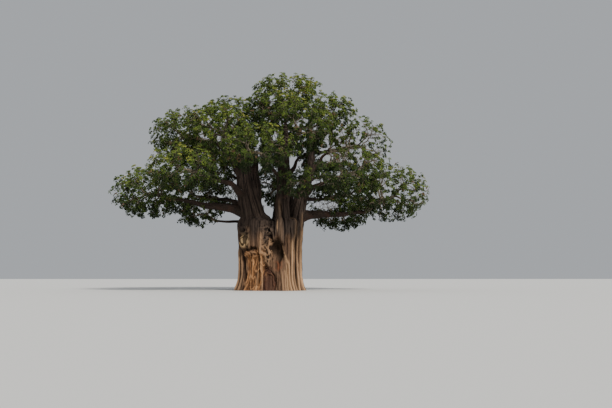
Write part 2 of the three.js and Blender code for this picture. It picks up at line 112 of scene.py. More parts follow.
def new_piece(mesh, nodes, material=None):
    """A piece of the tree at the origin, which rides on the tree and stands for these solids."""
    piece = bpy.data.objects.new(mesh.name, mesh)
    bpy.context.scene.collection.objects.link(piece)
    if material:
        mesh.materials.append(material)
    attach(piece, "root")
    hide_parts(*nodes)
    return piece


def triangles(mesh):
    """The number of triangles that the mesh's faces make."""
    return len(mesh.loops) - 2 * len(mesh.polygons)


# %% [markdown]
# ## Shared formulas
# A few formulas serve the whole tree: a soft step, a bell round a turn of the trunk, and a smooth
# noise, which is a lattice of seeded values with soft blending between them.

# %% Steps, bells and noise
def smoothstep(low, high, value):
    """0 below low, 1 above high, and 3s² - 2s³ of the share s between them."""
    share = np.clip((value - low) / (high - low), 0.0, 1.0)
    return share * share * (3.0 - 2.0 * share)


def turn_bell(turn, middle, half):
    """exp(-(a / half)²), with a the angle between turn and middle, in degrees."""
    apart = np.abs(turn - middle) % 360.0
    return np.exp(-((np.minimum(apart, 360.0 - apart) / half) ** 2))


def unit(vectors):
    """Vectors divided by their length."""
    return vectors / np.maximum(np.linalg.norm(vectors, axis=-1, keepdims=True), 1e-9)


LATTICE_STEPS = np.array([127.1, 311.7, 74.7])
SCATTER_SCALE = 43758.5453  # so large that the last digits of a sine look random


def noise(points, cell, seed=0.0):
    """Values from 0 to 1: seeded ones at the corners of cells of this size, blended between."""
    grid = points / cell
    low = np.floor(grid)
    share = grid - low
    share = share * share * (3.0 - 2.0 * share)
    total = np.zeros(points.shape[:-1])
    for corner in np.ndindex(2, 2, 2):
        value = np.sin((low + corner) @ LATTICE_STEPS + seed) * SCATTER_SCALE
        weight = np.prod(np.where(np.array(corner) == 1, share, 1.0 - share), axis=-1)
        total += weight * (value - np.floor(value))
    return total


print("noise at the origin", round(float(noise(np.zeros((1, 3)), 1.0)[0]), 3))

# %% [markdown]
# ## The trunk's form
# The trunk is a short drum, wider at its foot, with folds that stand out and hollows that sink in.
# Its radius is a formula of the turn about the upright and the height: an ellipse, the flare, a
# slight swelling under the stems, and one bell for each fold or hollow. The rim rises in a lobe
# under each stem, so that the trunk runs on into its stems.

# %% Sizes of the trunk
TRUNK = {
    "half_width": 2.74,
    "half_depth": 2.5,
    "shoulder": 5.85,
    "lobe_rise": 1.05,
    "lobe_taper": 0.26,
    "fork": 6.35,
    "root_flare": 0.43,
    "flare_height": 0.7,
    "top_swell": 0.17,
    "swell_from": 3.4,
    "swell_to": 6.0,
}
# Folds and hollows: turn and half width in degrees, from and to in metres of height, metres out
TRUNK_FORMS = [
    (343, 8, -1, 6.6, 0.2),
    (324, 7, -1, 6.6, 0.22),
    (309, 6, -1, 5.2, 0.18),
    (293, 8, -1, 6.6, 0.3),
    (267, 9, 3.6, 9, -0.55),
    (280, 9, 1.7, 4.0, -0.6),
    (266, 11, 0.15, 1.7, -0.5),
    (240, 24, 3.0, 9, 0.26),
    (236, 20, -0.4, 3.0, -0.16),
    (217, 11, 3.1, 4.7, 0.34),
    (194, 9, -1, 6.6, 0.2),
    (158, 15, -1, 6.6, 0.3),
    (132, 9, -1, 5.7, -0.3),
    (108, 14, -1, 6.6, 0.26),
    (84, 9, -1, 9, -0.42),
    (57, 15, -1, 6.6, 0.3),
    (31, 7, -1, 9, -0.26),
    (12, 9, -1, 6.6, 0.2),
]
FORM_EDGE = 0.45  # metres of height over which a fold fades
# Each stem: its foot's turn, its lobe's half width, its line's end, its root and end radii
STEMS = {
    "left_stem": (207, 36, (-2.75, -0.7, 12.9), 1.28, 0.34),
    "middle_stem": (297, 15, (1.3, -0.75, 15.3), 0.72, 0.22),
    "right_stem": (345, 26, (3.95, -0.35, 13.7), 0.94, 0.28),
    "back_left_stem": (152, 30, (-1.5, 4.7, 12.3), 0.95, 0.28),
    "back_right_stem": (54, 36, (1.35, 3.0, 14.2), 1.1, 0.28),
}
STEM_FOOT = 4.9  # the height of the stems' feet inside the trunk
STEM_DEPTH = 0.06  # of a foot's outer side under the trunk's surface
STEM_COLLAR = 0.08
STEM_TAPER = 0.8


def trunk_radius(turn, height):
    """Ellipse + flare e^(-h/f) + swelling + bells, turned in above the shoulder. Turn in degrees."""
    angle = np.radians(turn)
    ellipse = 1.0 / np.hypot(
        np.cos(angle) / TRUNK["half_width"], np.sin(angle) / TRUNK["half_depth"]
    )
    radius = ellipse + TRUNK["root_flare"] * np.exp(-np.maximum(height, 0) / TRUNK["flare_height"])
    swell = smoothstep(TRUNK["swell_from"], TRUNK["swell_to"], height)
    radius = radius + TRUNK["top_swell"] * swell
    for middle, half, low, high, out in TRUNK_FORMS:
        rise = smoothstep(low - FORM_EDGE, low + FORM_EDGE, height)
        fall = 1.0 - smoothstep(high - FORM_EDGE, high + FORM_EDGE, height)
        radius = radius + out * turn_bell(turn, middle, half) * rise * fall
    above = np.maximum(0.0, height - TRUNK["shoulder"]) / TRUNK["lobe_rise"]
    return radius * (1.0 - TRUNK["lobe_taper"] * above**2)


def rim_height(turn):
    """The shoulder's height plus the tallest of the stems' lobes at that turn."""
    lobes = [turn_bell(turn, stem[0], stem[1]) for stem in STEMS.values()]
    return TRUNK["shoulder"] + TRUNK["lobe_rise"] * np.max(lobes, axis=0)


print("trunk is", round(float(trunk_radius(0.0, 3.0) + trunk_radius(180.0, 3.0)), 2), "m thick")

# %% The trunk as a grid
TRUNK_SIDES = 240
TRUNK_RINGS = 70
UNDER_GROUND = 0.4  # the skin starts here and is cut off level with the ground later
# The rings over the rim, each as a share of the rim's radius
CLOSING = np.array([0.99, 0.96, 0.9, 0.82, 0.72, 0.6, 0.46, 0.3, 0.15, 0.03])[:, None]


def closed_rings(rings):
    """Faces of rings (k, n) of corners joined round and upwards, with a face over each end."""
    count, sides = rings.shape[:2]
    index = np.arange(count * sides).reshape(count, sides)
    turned = np.roll(index, -1, axis=1)
    walls = np.stack([index[:-1], turned[:-1], turned[1:], index[1:]], axis=-1).reshape(-1, 4)
    ends = np.stack([index[0, ::-1], index[-1]])
    return rings.reshape(-1, 3), walls, ends


def trunk_skin():
    """Corner = r(turn, h) (cos, sin) at h; over the rim r shrinks while h runs to the fork."""
    turn = np.arange(TRUNK_SIDES) * 360.0 / TRUNK_SIDES
    rim = rim_height(turn)
    share = np.linspace(0.0, 1.0, TRUNK_RINGS)[:, None]
    heights = -UNDER_GROUND + share * (rim + UNDER_GROUND)
    radii = trunk_radius(turn, heights)
    power = np.where(rim < TRUNK["fork"], 0.5, 1.0)
    top_heights = rim + (TRUNK["fork"] - rim) * (1.0 - CLOSING**2) ** power
    top_radii = trunk_radius(turn, rim) * CLOSING
    radii = np.concatenate([radii, top_radii])
    heights = np.concatenate([heights, top_heights])
    angle = np.radians(turn)
    return np.stack([radii * np.cos(angle), radii * np.sin(angle), heights], axis=-1)


trunk_rings = trunk_skin()
print("trunk grid", trunk_rings.shape)

# %% [markdown]
# ## Limbs
# A stem or a bough is a tube round a line. The line is a cubic curve with a little wandering, and
# the radius tapers from a collar at its foot. One function makes any number of tubes at once, so
# the same rule serves a stem as thick as a man is tall and a twig as thin as a finger.

# %% Lines and tubes
CURVE_STEPS = 240  # along a curve, before its points are spaced evenly
COLLAR_FADE = 14.0  # how fast a collar dies away along its limb


def limb_line(start, leave, arrive, end, wander, phase, count):
    """Points evenly along a cubic curve + wander·sin(πt)·(sin 9t, cos 8t, 0.6 sin 7t)."""
    t = np.linspace(0.0, 1.0, CURVE_STEPS)[:, None]
    start, leave, arrive, end = (np.asarray(point, float) for point in (start, leave, arrive, end))
    curve = (
        start * (1 - t) ** 3
        + 3 * leave * t * (1 - t) ** 2
        + 3 * arrive * t**2 * (1 - t)
        + end * t**3
    )
    sway = np.hstack(
        [np.sin(9 * t + phase), np.cos(8 * t + 2 * phase), 0.6 * np.sin(7 * t + 3 * phase)]
    )
    curve = curve + wander * np.sin(np.pi * t) * sway
    along = np.concatenate([[0.0], np.cumsum(np.linalg.norm(np.diff(curve, axis=0), axis=1))])
    even = np.linspace(0.0, along[-1], count)
    return np.stack([np.interp(even, along, curve[:, axis]) for axis in range(3)], axis=-1)


def limb_radius(root, end, collar, taper, share):
    """end + (root - end)(1 - s)^taper + collar·root·e^(-fade·s), at shares s of the length."""
    swelling = collar * root * np.exp(-COLLAR_FADE * share)
    return end + (root - end) * (1 - share) ** taper + swelling


def tubes(points, radii, sides):
    """Rings round each row of points (n, k, 3): corner = point + r (cos a · side + sin a · up)."""
    along = unit(np.gradient(points, axis=1))
    main = np.abs(unit(along.mean(axis=1)))
    reference = np.eye(3)[np.argmin(main, axis=1)][:, None, :]
    side = unit(np.cross(along, reference))
    up = np.cross(along, side)
    angle = np.arange(sides) * 2.0 * np.pi / sides
    radii = radii if radii.ndim == 3 else radii[:, :, None]
    across = np.cos(angle)[:, None] * side[:, :, None] + np.sin(angle)[:, None] * up[:, :, None]
    rings = points[:, :, None] + radii[..., None] * across
    return rings


def tube_faces(rings):
    """Corners, side faces and end faces of tubes (n, k, sides, 3)."""
    number, count, sides = rings.shape[:3]
    index = np.arange(number * count * sides).reshape(number, count, sides)
    turned = np.roll(index, -1, axis=2)
    walls = np.stack(
        [index[:, :-1], turned[:, :-1], turned[:, 1:], index[:, 1:]], axis=-1
    ).reshape(-1, 4)
    ends = np.concatenate([index[:, 0, ::-1], index[:, -1]])
    return rings.reshape(-1, 3), walls, ends


# %% The stems' lines
STEM_POINTS = 60
STEM_LEAVE = np.array([0.5, 0.3, 0.35])  # the first handle, as shares of the way on each axis
STEM_ARRIVE = 0.3
STEM_WANDER = 0.012


def stem_line(name, index):
    """The stem's foot stands just inside the trunk's surface, and its line leans to its end."""
    turn, _, tip, root, _ = STEMS[name]
    angle = math.radians(turn)
    inset = (1 + STEM_COLLAR) * root + STEM_DEPTH
    distance = float(trunk_radius(float(turn), STEM_FOOT)) - inset
    start = np.array([distance * math.cos(angle), distance * math.sin(angle), STEM_FOOT])
    lean = np.array(tip) - start
    leave = start + lean * STEM_LEAVE
    arrive = np.array(tip) - STEM_ARRIVE * lean
    return limb_line(start, leave, arrive, tip, lean[2] * STEM_WANDER, index, STEM_POINTS)


stem_lines = {name: stem_line(name, index) for index, name in enumerate(STEMS)}
stem_radii = {
    name: limb_radius(row[3], row[4], STEM_COLLAR, STEM_TAPER, np.linspace(0, 1, STEM_POINTS))
    for name, row in STEMS.items()
}
print("stems", {name: np.round(line[-1], 1).tolist() for name, line in stem_lines.items()})

# %% [markdown]
# ## One skin for trunk and stems
# On the real tree the stems grow out of the trunk with no seam. The trunk and the five stems are
# closed surfaces that run into each other, so a voxel remesh fuses them into one skin, and a little
# smoothing rounds the creases between them. The bark's relief is added afterwards, because the
# remesh would wear it away.

# %% Fuse the trunk and the stems
VOXEL = 0.052
SOFTEN = 0.5  # how far a corner moves to the middle of its neighbours in one round
SOFTEN_ROUNDS = 26
STEM_SIDES = 36
# The web of wood that slants down the fork from the left stem
WEB_FROM = (-1.56, -0.85, 7.1)
WEB_TO = (0.26, -1.2, 5.7)
WEB_RADIUS = 0.45
WEB_POINTS = 12
WEB_SIDES = 24


def join_surfaces(surfaces):
    """One array of corners and lists of faces from several surfaces."""
    corners, face_sets, count = [], [], 0
    for points, *faces in surfaces:
        corners.append(points)
        face_sets += [part + count for part in faces]
        count += len(points)
    return np.concatenate(corners), face_sets


def fused_skin(corners, face_sets):
    """The voxel remesh of closed surfaces, smoothed: its corners, their normals and its faces."""
    rough = bpy.data.objects.new("rough_skin", new_mesh("rough_skin", corners, face_sets))
    bpy.context.scene.collection.objects.link(rough)
    fuse = rough.modifiers.new("fuse", "REMESH")
    fuse.mode = "VOXEL"
    fuse.voxel_size = VOXEL
    soften = rough.modifiers.new("soften", "SMOOTH")
    soften.factor = SOFTEN
    soften.iterations = SOFTEN_ROUNDS
    evaluated = rough.evaluated_get(bpy.context.evaluated_depsgraph_get())
    mesh = evaluated.to_mesh()
    points = np.empty(len(mesh.vertices) * 3, np.float32)
    normals = np.empty(len(mesh.vertices) * 3, np.float32)
    mesh.vertices.foreach_get("co", points)
    mesh.vertex_normals.foreach_get("vector", normals)
    loops = np.empty(len(mesh.loops), np.int32)
    mesh.loops.foreach_get("vertex_index", loops)
    faces = loops.reshape(-1, len(loops) // len(mesh.polygons))
    evaluated.to_mesh_clear()
    bpy.data.objects.remove(rough)
    return points.reshape(-1, 3).astype(float), normals.reshape(-1, 3).astype(float), faces


surfaces = [closed_rings(trunk_rings)]
for name, line in stem_lines.items():
    surfaces.append(tube_faces(tubes(line[None], stem_radii[name][None], STEM_SIDES)))
web_line = np.linspace(WEB_FROM, WEB_TO, WEB_POINTS)
web_radii = np.full((1, WEB_POINTS), WEB_RADIUS)
surfaces.append(tube_faces(tubes(web_line[None], web_radii, WEB_SIDES)))
skin_points, skin_normals, skin_faces = fused_skin(*join_surfaces(surfaces))
print("skin", len(skin_points), "corners", skin_faces.shape)

# %% [markdown]
# ## Bark relief
# Baobab bark runs in upright folds, finer between the great ones, and this old trunk is worn: its
# front left is stripped to fibres below a ragged edge, a knobbly burr sits over a shelf, and ropes
# of bark hang over two hollows. Each is a formula of the turn and the height. Round a stem, the
# turn is measured about the stem's own line, so its folds climb with it.

# %% Turns about the trunk and the stems
def around(points):
    """The turn in degrees about the trunk below the fork, and about the nearest stem above it."""
    trunk_turn = np.degrees(np.arctan2(points[:, 1], points[:, 0])) % 360.0
    nearest = np.full(len(points), 1e9)
    stem_turn = np.zeros(len(points))
    stem_size = np.ones(len(points))
    for name, line in stem_lines.items():
        centre = np.stack([np.interp(points[:, 2], line[:, 2], line[:, a]) for a in (0, 1)], axis=-1)
        size = np.interp(points[:, 2], line[:, 2], stem_radii[name])
        offset = points[:, :2] - centre
        distance = np.linalg.norm(offset, axis=1) / size
        closer = distance < nearest
        nearest = np.where(closer, distance, nearest)
        turn = np.degrees(np.arctan2(offset[:, 1], offset[:, 0])) % 360.0
        stem_turn = np.where(closer, turn, stem_turn)
        stem_size = np.where(closer, size, stem_size)
    return trunk_turn, stem_turn, stem_size


# %% The ribs of the bark
TRUNK_RIBS = [(19, 0.11), (43, 0.075), (79, 0.04)]  # how many round the trunk, how deep in metres
STEM_RIBS = [(8, 0.1), (17, 0.075), (31, 0.04)]
RIB_POWER = 0.55  # under 1, so that ribs are broad and creases narrow
RIB_MEAN = 0.7
RIB_LIMIT = 1.1  # a stem's ribs are as deep as its radius is large, up to this
FORK_BAND = (5.2, 7.2)  # heights between which the stems' ribs take over from the trunk's


def ribs(turn, height, rows):
    """Sum of depth (w - mean), with w = |sin(n·a/2 + sway)|^power, and the mean of the w."""
    angle = np.radians(turn)
    angle = angle + 0.05 * np.sin(3 * angle + 0.5 * height) + 0.03 * np.sin(7 * angle + 1.3)
    relief = 0.0
    crest = 0.0
    for number, depth in rows:
        sway = 0.6 * np.sin(0.6 * height + number) + 0.35 * np.sin(1.5 * height + 2.0 * number)
        wave = np.abs(np.sin(number * angle / 2.0 + sway)) ** RIB_POWER
        relief = relief + depth * (wave - RIB_MEAN)
        crest = crest + wave / len(rows)
    return relief, crest


trunk_turn, stem_turn, stem_size = around(skin_points)
heights = skin_points[:, 2]
on_stem = smoothstep(*FORK_BAND, heights)
trunk_relief, trunk_crest = ribs(trunk_turn, heights, TRUNK_RIBS)
stem_relief, stem_crest = ribs(stem_turn, heights, STEM_RIBS)
stem_relief = stem_relief * np.minimum(stem_size, RIB_LIMIT)
relief = trunk_relief * (1 - on_stem) + stem_relief * on_stem
# crest: how high a corner stands on its ribs; the shader paints it paler there as a painted highlight
# and darker in the creases as painted shade
crest = trunk_crest * (1 - on_stem) + stem_crest * on_stem
print("corners on the stems", int((on_stem > 0.5).sum()))

# %% [markdown]
# Some ridges are too marked to leave to the pattern: the columns on the right, with deep grooves
# between them, the rib beside the worn face and the rope that slants down it. Each follows its own
# turn up the trunk, leaning and swaying a little.

# %% Ridges and grooves
# Turn where it starts, lean in degrees a metre, half width in degrees, from and to in metres of
# height, metres out, and how tan it is
RIDGES = [
    (311.0, 0.2, 1.7, -1.0, 4.4, 0.09, 0.95),
    (317.0, 0.0, 2.0, -1.0, 4.8, 0.08, 0.35),
    (324.5, 0.2, 1.9, -1.0, 4.6, 0.09, 0.80),
    (341.5, 0.2, 4.4, -1.0, 5.4, 0.05, 0.90),
    (305.0, -0.6, 1.9, -1.0, 2.5, 0.20, 0.85),
    (303.0, -9.0, 2.6, 2.3, 3.9, 0.22, 0.90),
    (299.5, 0.4, 1.3, -1.0, 2.3, 0.12, 0.75),
    (294.5, 0.6, 1.2, -1.0, 1.9, 0.10, 0.60),
    (289.5, 0.4, 1.0, 0.0, 1.7, 0.07, 0.45),
    (248.0, 0.9, 1.8, 1.6, 4.9, 0.13, 0.50),
    (253.0, -0.8, 1.3, 0.2, 2.4, 0.09, 0.45),
    (287.5, 0.0, 2.8, 3.9, 8.0, 0.14, 0.12),
    (282.0, 0.0, 0.9, 5.2, 6.1, 0.06, 0.80),
    (320.0, 0.0, 2.0, 4.7, 6.9, 0.12, 0.22),
    (338.5, 0.0, 2.0, 4.4, 6.7, 0.12, 0.45),
    (195.0, 0.5, 1.6, 0.0, 3.6, 0.10, 0.65),
    (204.0, -0.8, 1.6, 0.0, 3.0, 0.10, 0.45),
    (241.0, 0.5, 1.6, 0.0, 2.6, 0.10, 0.35),
]
# The same for grooves: turn, lean, half width, from, to, metres in
GROOVES = [
    (307.8, 0.2, 1.0, -1.0, 5.4, 0.20),
    (314.2, 0.2, 0.9, -1.0, 4.6, 0.12),
    (320.8, 0.0, 1.0, -1.0, 6.6, 0.18),
    (329.8, 0.3, 1.6, -1.0, 6.4, 0.24),
    (302.2, 0.0, 0.8, -1.0, 2.2, 0.14),
    (297.0, 0.4, 0.8, -1.0, 2.0, 0.12),
    (297.5, -2.0, 1.6, 3.9, 7.6, 0.18),
    (275.0, 0.5, 1.6, 4.8, 8.0, 0.16),
    (244.5, 0.6, 1.4, 0.6, 3.2, 0.20),
    (199.5, 0.0, 1.3, 0.0, 3.5, 0.16),
    (210.5, -0.6, 2.2, 1.8, 3.5, 0.20),
    (214.0, -0.6, 1.3, 0.0, 2.4, 0.12),
    (257.0, 0.0, 1.4, 0.2, 2.2, 0.14),
]
RIDGE_FADE = 0.35  # metres of height
RIDGE_SWAY = 0.5  # degrees
RIDGE_WAVES = 2.1  # radians a metre


def ridge(turn, lean, half, low, high):
    """A bell round the turn + lean·height + a sway, which fades towards both of its ends."""
    sway = RIDGE_SWAY * np.sin(RIDGE_WAVES * heights + turn)
    middle = turn + lean * (heights - max(low, 0.0)) + sway
    rise = smoothstep(low - RIDGE_FADE, low + RIDGE_FADE, heights)
    fall = 1.0 - smoothstep(high - RIDGE_FADE, high + RIDGE_FADE, heights)
    return turn_bell(trunk_turn, middle, half) * rise * fall


ridges = np.zeros(len(heights))
tan = np.zeros(len(heights))
for *place, out, tint in RIDGES:
    bell = ridge(*place)
    ridges = np.maximum(ridges, out * bell)
    tan = np.maximum(tan, tint * bell)
grooves = np.zeros(len(heights))
for *place, depth in GROOVES:
    grooves = np.maximum(grooves, depth * ridge(*place))
print("ridges", len(RIDGES), "grooves", len(GROOVES))

# %% [markdown]
# Old wounds have healed as knots and loops of bark, like tangled rope, on the worn face. A tangle is
# the line where a noise crosses its middle value: it wanders, splits and closes on itself. A few
# knots that stand out more are rings on the skin, at a set distance from their middles.

# %% Tangled bark
MEAN_RADIUS = 2.75
PUSH = 1.2  # how far the pattern is pushed about, in cells
PUSH_CELL = 1.7  # the size of the pushing noise's cells, in cells
# The sizes of the noises' cells, in metres
RAGGED_CELL = np.array([0.5, 0.5, 0.9])
FINE_CELL = np.array([0.15, 0.15, 0.32])
ROPE_CELL = np.array([0.28, 0.28, 0.40])
THIN_ROPE_CELL = np.array([0.17, 0.17, 0.26])
GNARL_CELL = np.array([0.19, 0.19, 0.70])
KNOB_CELL = np.array([0.13, 0.13, 0.21])
THIN_ROPE = 0.85  # how far the thinner ropes stand out, beside the others
# Turn, height, half width and half height of the tangled bark on the worn face
TANGLED = (262.5, 3.95, 0.62, 1.7)


def from_point(turn, height):
    """Metres round the trunk and up from a point on it."""
    apart = (trunk_turn - turn + 180.0) % 360.0 - 180.0
    return np.radians(apart) * MEAN_RADIUS, heights - height


def patch(turn, height, half_round, half_up, wobble=0.0, lean=0.0):
    """exp(-(x/a)^4 - (z/b)^4), x leaning with z: a flat patch with soft edges round a point."""
    across, up = from_point(turn, height)
    across = across + lean * up
    return np.exp(-(((across + wobble) / half_round) ** 4) - ((up + wobble) / half_up) ** 4)


def tangle(points, cell, seed):
    """(1 - |2n - 1|)^3 of a noise n at places that other noises have pushed about."""
    push = [noise(points, cell * PUSH_CELL, seed + step) - 0.5 for step in (1.0, 2.0, 3.0)]
    pushed = points + PUSH * cell * np.stack(push, axis=-1)
    return (1.0 - np.abs(2.0 * noise(pushed, cell, seed) - 1.0)) ** 3


ragged = noise(skin_points, RAGGED_CELL, 3.0) - 0.5
fine = noise(skin_points, FINE_CELL, 5.0) - 0.5
thin_rope = THIN_ROPE * tangle(skin_points, THIN_ROPE_CELL, 17.0)
rope = np.maximum(tangle(skin_points, ROPE_CELL, 11.0), thin_rope)
gnarl = tangle(skin_points, GNARL_CELL, 29.0)
knobs = smoothstep(0.42, 0.62, noise(skin_points, KNOB_CELL, 23.0))
tangled = patch(*TANGLED, 0.2 * ragged)
print("tangled corners", int((tangled > 0.5).sum()))

# %% Knots, burr and hollows
# Turn, height, half width and half height, metres out
KNOTS = [
    (265.5, 5.25, 0.34, 0.24, 0.15),
    (258.0, 4.55, 0.20, 0.40, 0.10),
    (212.5, 5.30, 0.44, 0.30, 0.15),
]
KNOT_RIM = 0.32  # the thickness of a knot's ring, as a share of its size
KNOT_PIT = 0.5  # the width of the pit inside the ring
# Turn, height, half width and half height
BURR_PLACE = (217.0, 4.3, 0.50, 0.56)
SHELF_PLACE = (226.5, 3.5, 0.68, 0.19)
SHELF_LEAN = -0.12
HOLLOW_PLACE = (285.5, 3.5, 0.50, 0.95)
HOLLOW_LEAN = 0.35
EMBER_PLACE = (283.0, 2.1, 0.22, 0.34)
EMBER_SHARE = 0.7
# The arch at the foot: the turn and height of its middle, and its half width and height
ARCH_MIDDLE = (266.5, -0.1)
ARCH_HALF = 0.62
ARCH_HEIGHT = 2.35
ARCH_EDGE = (0.82, 1.12)
ARCH_RINGS = 3.1  # rings of old wood across the arch
knots = np.zeros(len(heights))
for turn, height, half_round, half_up, out in KNOTS:
    across, up = from_point(turn, height)
    distance = np.hypot(across / half_round, up / half_up) + 0.9 * ragged + 0.6 * fine
    ring = np.exp(-(((distance - 1.0) / KNOT_RIM) ** 2))
    ring = out * (ring - 0.6 * np.exp(-((distance / KNOT_PIT) ** 2)))
    knots = np.where(np.abs(ring) > np.abs(knots), ring, knots)

burr = patch(*BURR_PLACE, 0.15 * ragged)
shelf = patch(*SHELF_PLACE, 0.75 * ragged + 0.3 * fine, SHELF_LEAN)
hollow = patch(*HOLLOW_PLACE, 0.3 * ragged, HOLLOW_LEAN)
ember = EMBER_SHARE * patch(*EMBER_PLACE, 0.4 * ragged) * smoothstep(-0.15, 0.2, fine)
across, up = from_point(*ARCH_MIDDLE)
arch_distance = np.hypot(across / ARCH_HALF, up / ARCH_HEIGHT) + 0.35 * ragged + 0.42 * fine
arch = 1.0 - smoothstep(*ARCH_EDGE, arch_distance)
arch_rings = np.cos(2 * np.pi * arch_distance * ARCH_RINGS) * arch
arch_rings = arch_rings * smoothstep(0.4, 0.65, arch_distance)
print("knots", len(KNOTS), "burr corners", int((burr > 0.5).sum()))

# %% [markdown]
# The worn face has three edges, all ragged: its top and one to each side. The sound bark turns from
# grey to a warmer brown lower down, more so on the front half of the trunk.

# %% Where the bark is worn
# Each edge is a soft step between two values, in metres of height or degrees of turn
WORN_TOP = (3.25, 3.7)
WORN_LEFT = (207, 220)
WORN_RIGHT = (249, 268)
WARM_TOP = (3.6, 5.3)
FACING_LEFT = (178, 196)
FACING_RIGHT = (350, 366)
WARM_BEHIND = 0.3  # how warm the bark is on the side that faces away

stripped = 1.0 - smoothstep(*WORN_TOP, heights + 1.7 * ragged + 0.5 * fine)
stripped = stripped * smoothstep(*WORN_LEFT, trunk_turn + 22 * ragged + 9 * fine)
stripped = stripped * (1 - smoothstep(*WORN_RIGHT, trunk_turn + 30 * ragged + 12 * fine))
below = 1.0 - smoothstep(*WARM_TOP, heights + 2.0 * ragged)
facing = smoothstep(*FACING_LEFT, trunk_turn) * (1 - smoothstep(*FACING_RIGHT, trunk_turn))
warm = below * (WARM_BEHIND + (1 - WARM_BEHIND) * facing)
print("stripped corners", int((stripped > 0.5).sum()))

# %% [markdown]
# Every mark on the bark moves the skin out or in and makes it paler or darker. Both are sums over one
# table, so a mark's depth stands beside its shade. The paler and darker values are painted light that
# follows the relief: mostly a painted highlight where a mark stands out and painted shade where it
# sinks in. The pull on the right keeps the columns there from widening the trunk, and a painted shade
# of the crown darkens the upper stems.

# %% Move the skin out and in
COLUMNS_PLACE = (350.0, 26.0)  # turn and half width
CROWN_SHADE = (8.3, 10.0)
FOOT = (-0.3, 0.5)  # heights between which the relief comes to its full depth
FOOT_RELIEF = 0.6
WHOLE_SKIN = -0.05
FLATTENED = 0.6  # how far the ribs are worn away on the marked places

marks = [
    # A mark, metres out, how much paler it is painted: a painted highlight above 0 and painted shade
    # below
    (ridges, 1.0, 2.2),
    (grooves, -1.0, -4.5),
    (knots, 1.0, 2.5),
    (tangled * rope, 0.24, 1.1),
    (tangled, -0.11, -0.8),
    (burr * knobs, 0.13, 1.3),
    (burr * fine, 0.2, 0.0),
    (burr, 0.0, -0.95),
    (stripped * gnarl, 0.12, 0.8),
    (stripped, -0.10, -0.4),
    (shelf, -0.24, 0.0),
    (hollow, -0.30, -0.25),
    (arch, -0.2, -0.2),
    (arch_rings, 0.06, 0.0),
    (ember, 0.05, 0.0),
    (ragged, 0.10, 0.0),
    (fine, 0.05, 0.0),
    (turn_bell(trunk_turn, *COLUMNS_PLACE), -0.12, 0.0),
    (smoothstep(*CROWN_SHADE, heights), 0.0, -0.16),
]
worn = np.clip(tangled + burr + 0.8 * stripped, 0, 1)
relief = relief * (1 - FLATTENED * worn) + WHOLE_SKIN
for mark, out, paler in marks:
    relief = relief + out * mark
    crest = crest + paler * mark
crest = np.clip(crest, 0, 1)
relief = relief * (FOOT_RELIEF + (1 - FOOT_RELIEF) * smoothstep(*FOOT, heights))
skin_points = skin_points + skin_normals * relief[:, None]
tan_marks = [
    tangled * np.clip(rope * 1.3 - 0.6, 0, 0.36) * (0.3 + 0.7 * below),
    stripped * smoothstep(0.55, 0.95, gnarl) * 0.4,
    np.clip(knots, 0, 1) * 2.6 * below,
]
tan = np.max([tan, *tan_marks], axis=0)
print("relief from", round(float(relief.min()), 2), "to", round(float(relief.max()), 2))

# %% [markdown]
# ## Shader maths as Python
# A shader is a graph of nodes. Typing the sums as Python is easier to read, so a small class wraps
# a socket, and an operator on it adds the Math node. Other nodes come from one method.

# %% A socket that can be reckoned with
DULL = 0.2  # the shine of bark and leaves, where 0.5 is that of clean plastic


class Link:
    """A number's or a colour's socket in a shader. Arithmetic on a number adds Math nodes."""

    def __init__(self, shader, socket):
        self.shader = shader
        self.socket = socket

    def math(self, operation, first, second):
        inputs = {0: first, 1: second}
        return self.shader.add("ShaderNodeMath", {"operation": operation}, inputs)[0]

    def __add__(self, other):
        return self.math("ADD", self, other)

    def __mul__(self, other):
        return self.math("MULTIPLY", self, other)

    def __sub__(self, other):
        return self.math("SUBTRACT", self, other)

    def __rsub__(self, other):
        return self.math("SUBTRACT", other, self)

    __radd__ = __add__
    __rmul__ = __mul__

    def clamp(self):
        """Held between 0 and 1."""
        return self.math("MINIMUM", self.math("MAXIMUM", self, 0.0), 1.0)

    def step(self, low, high):
        """0 below low and 1 above high."""
        settings = {"interpolation_type": "SMOOTHSTEP"}
        return self.shader.add("ShaderNodeMapRange", settings, {0: self, 1: low, 2: high})[0]


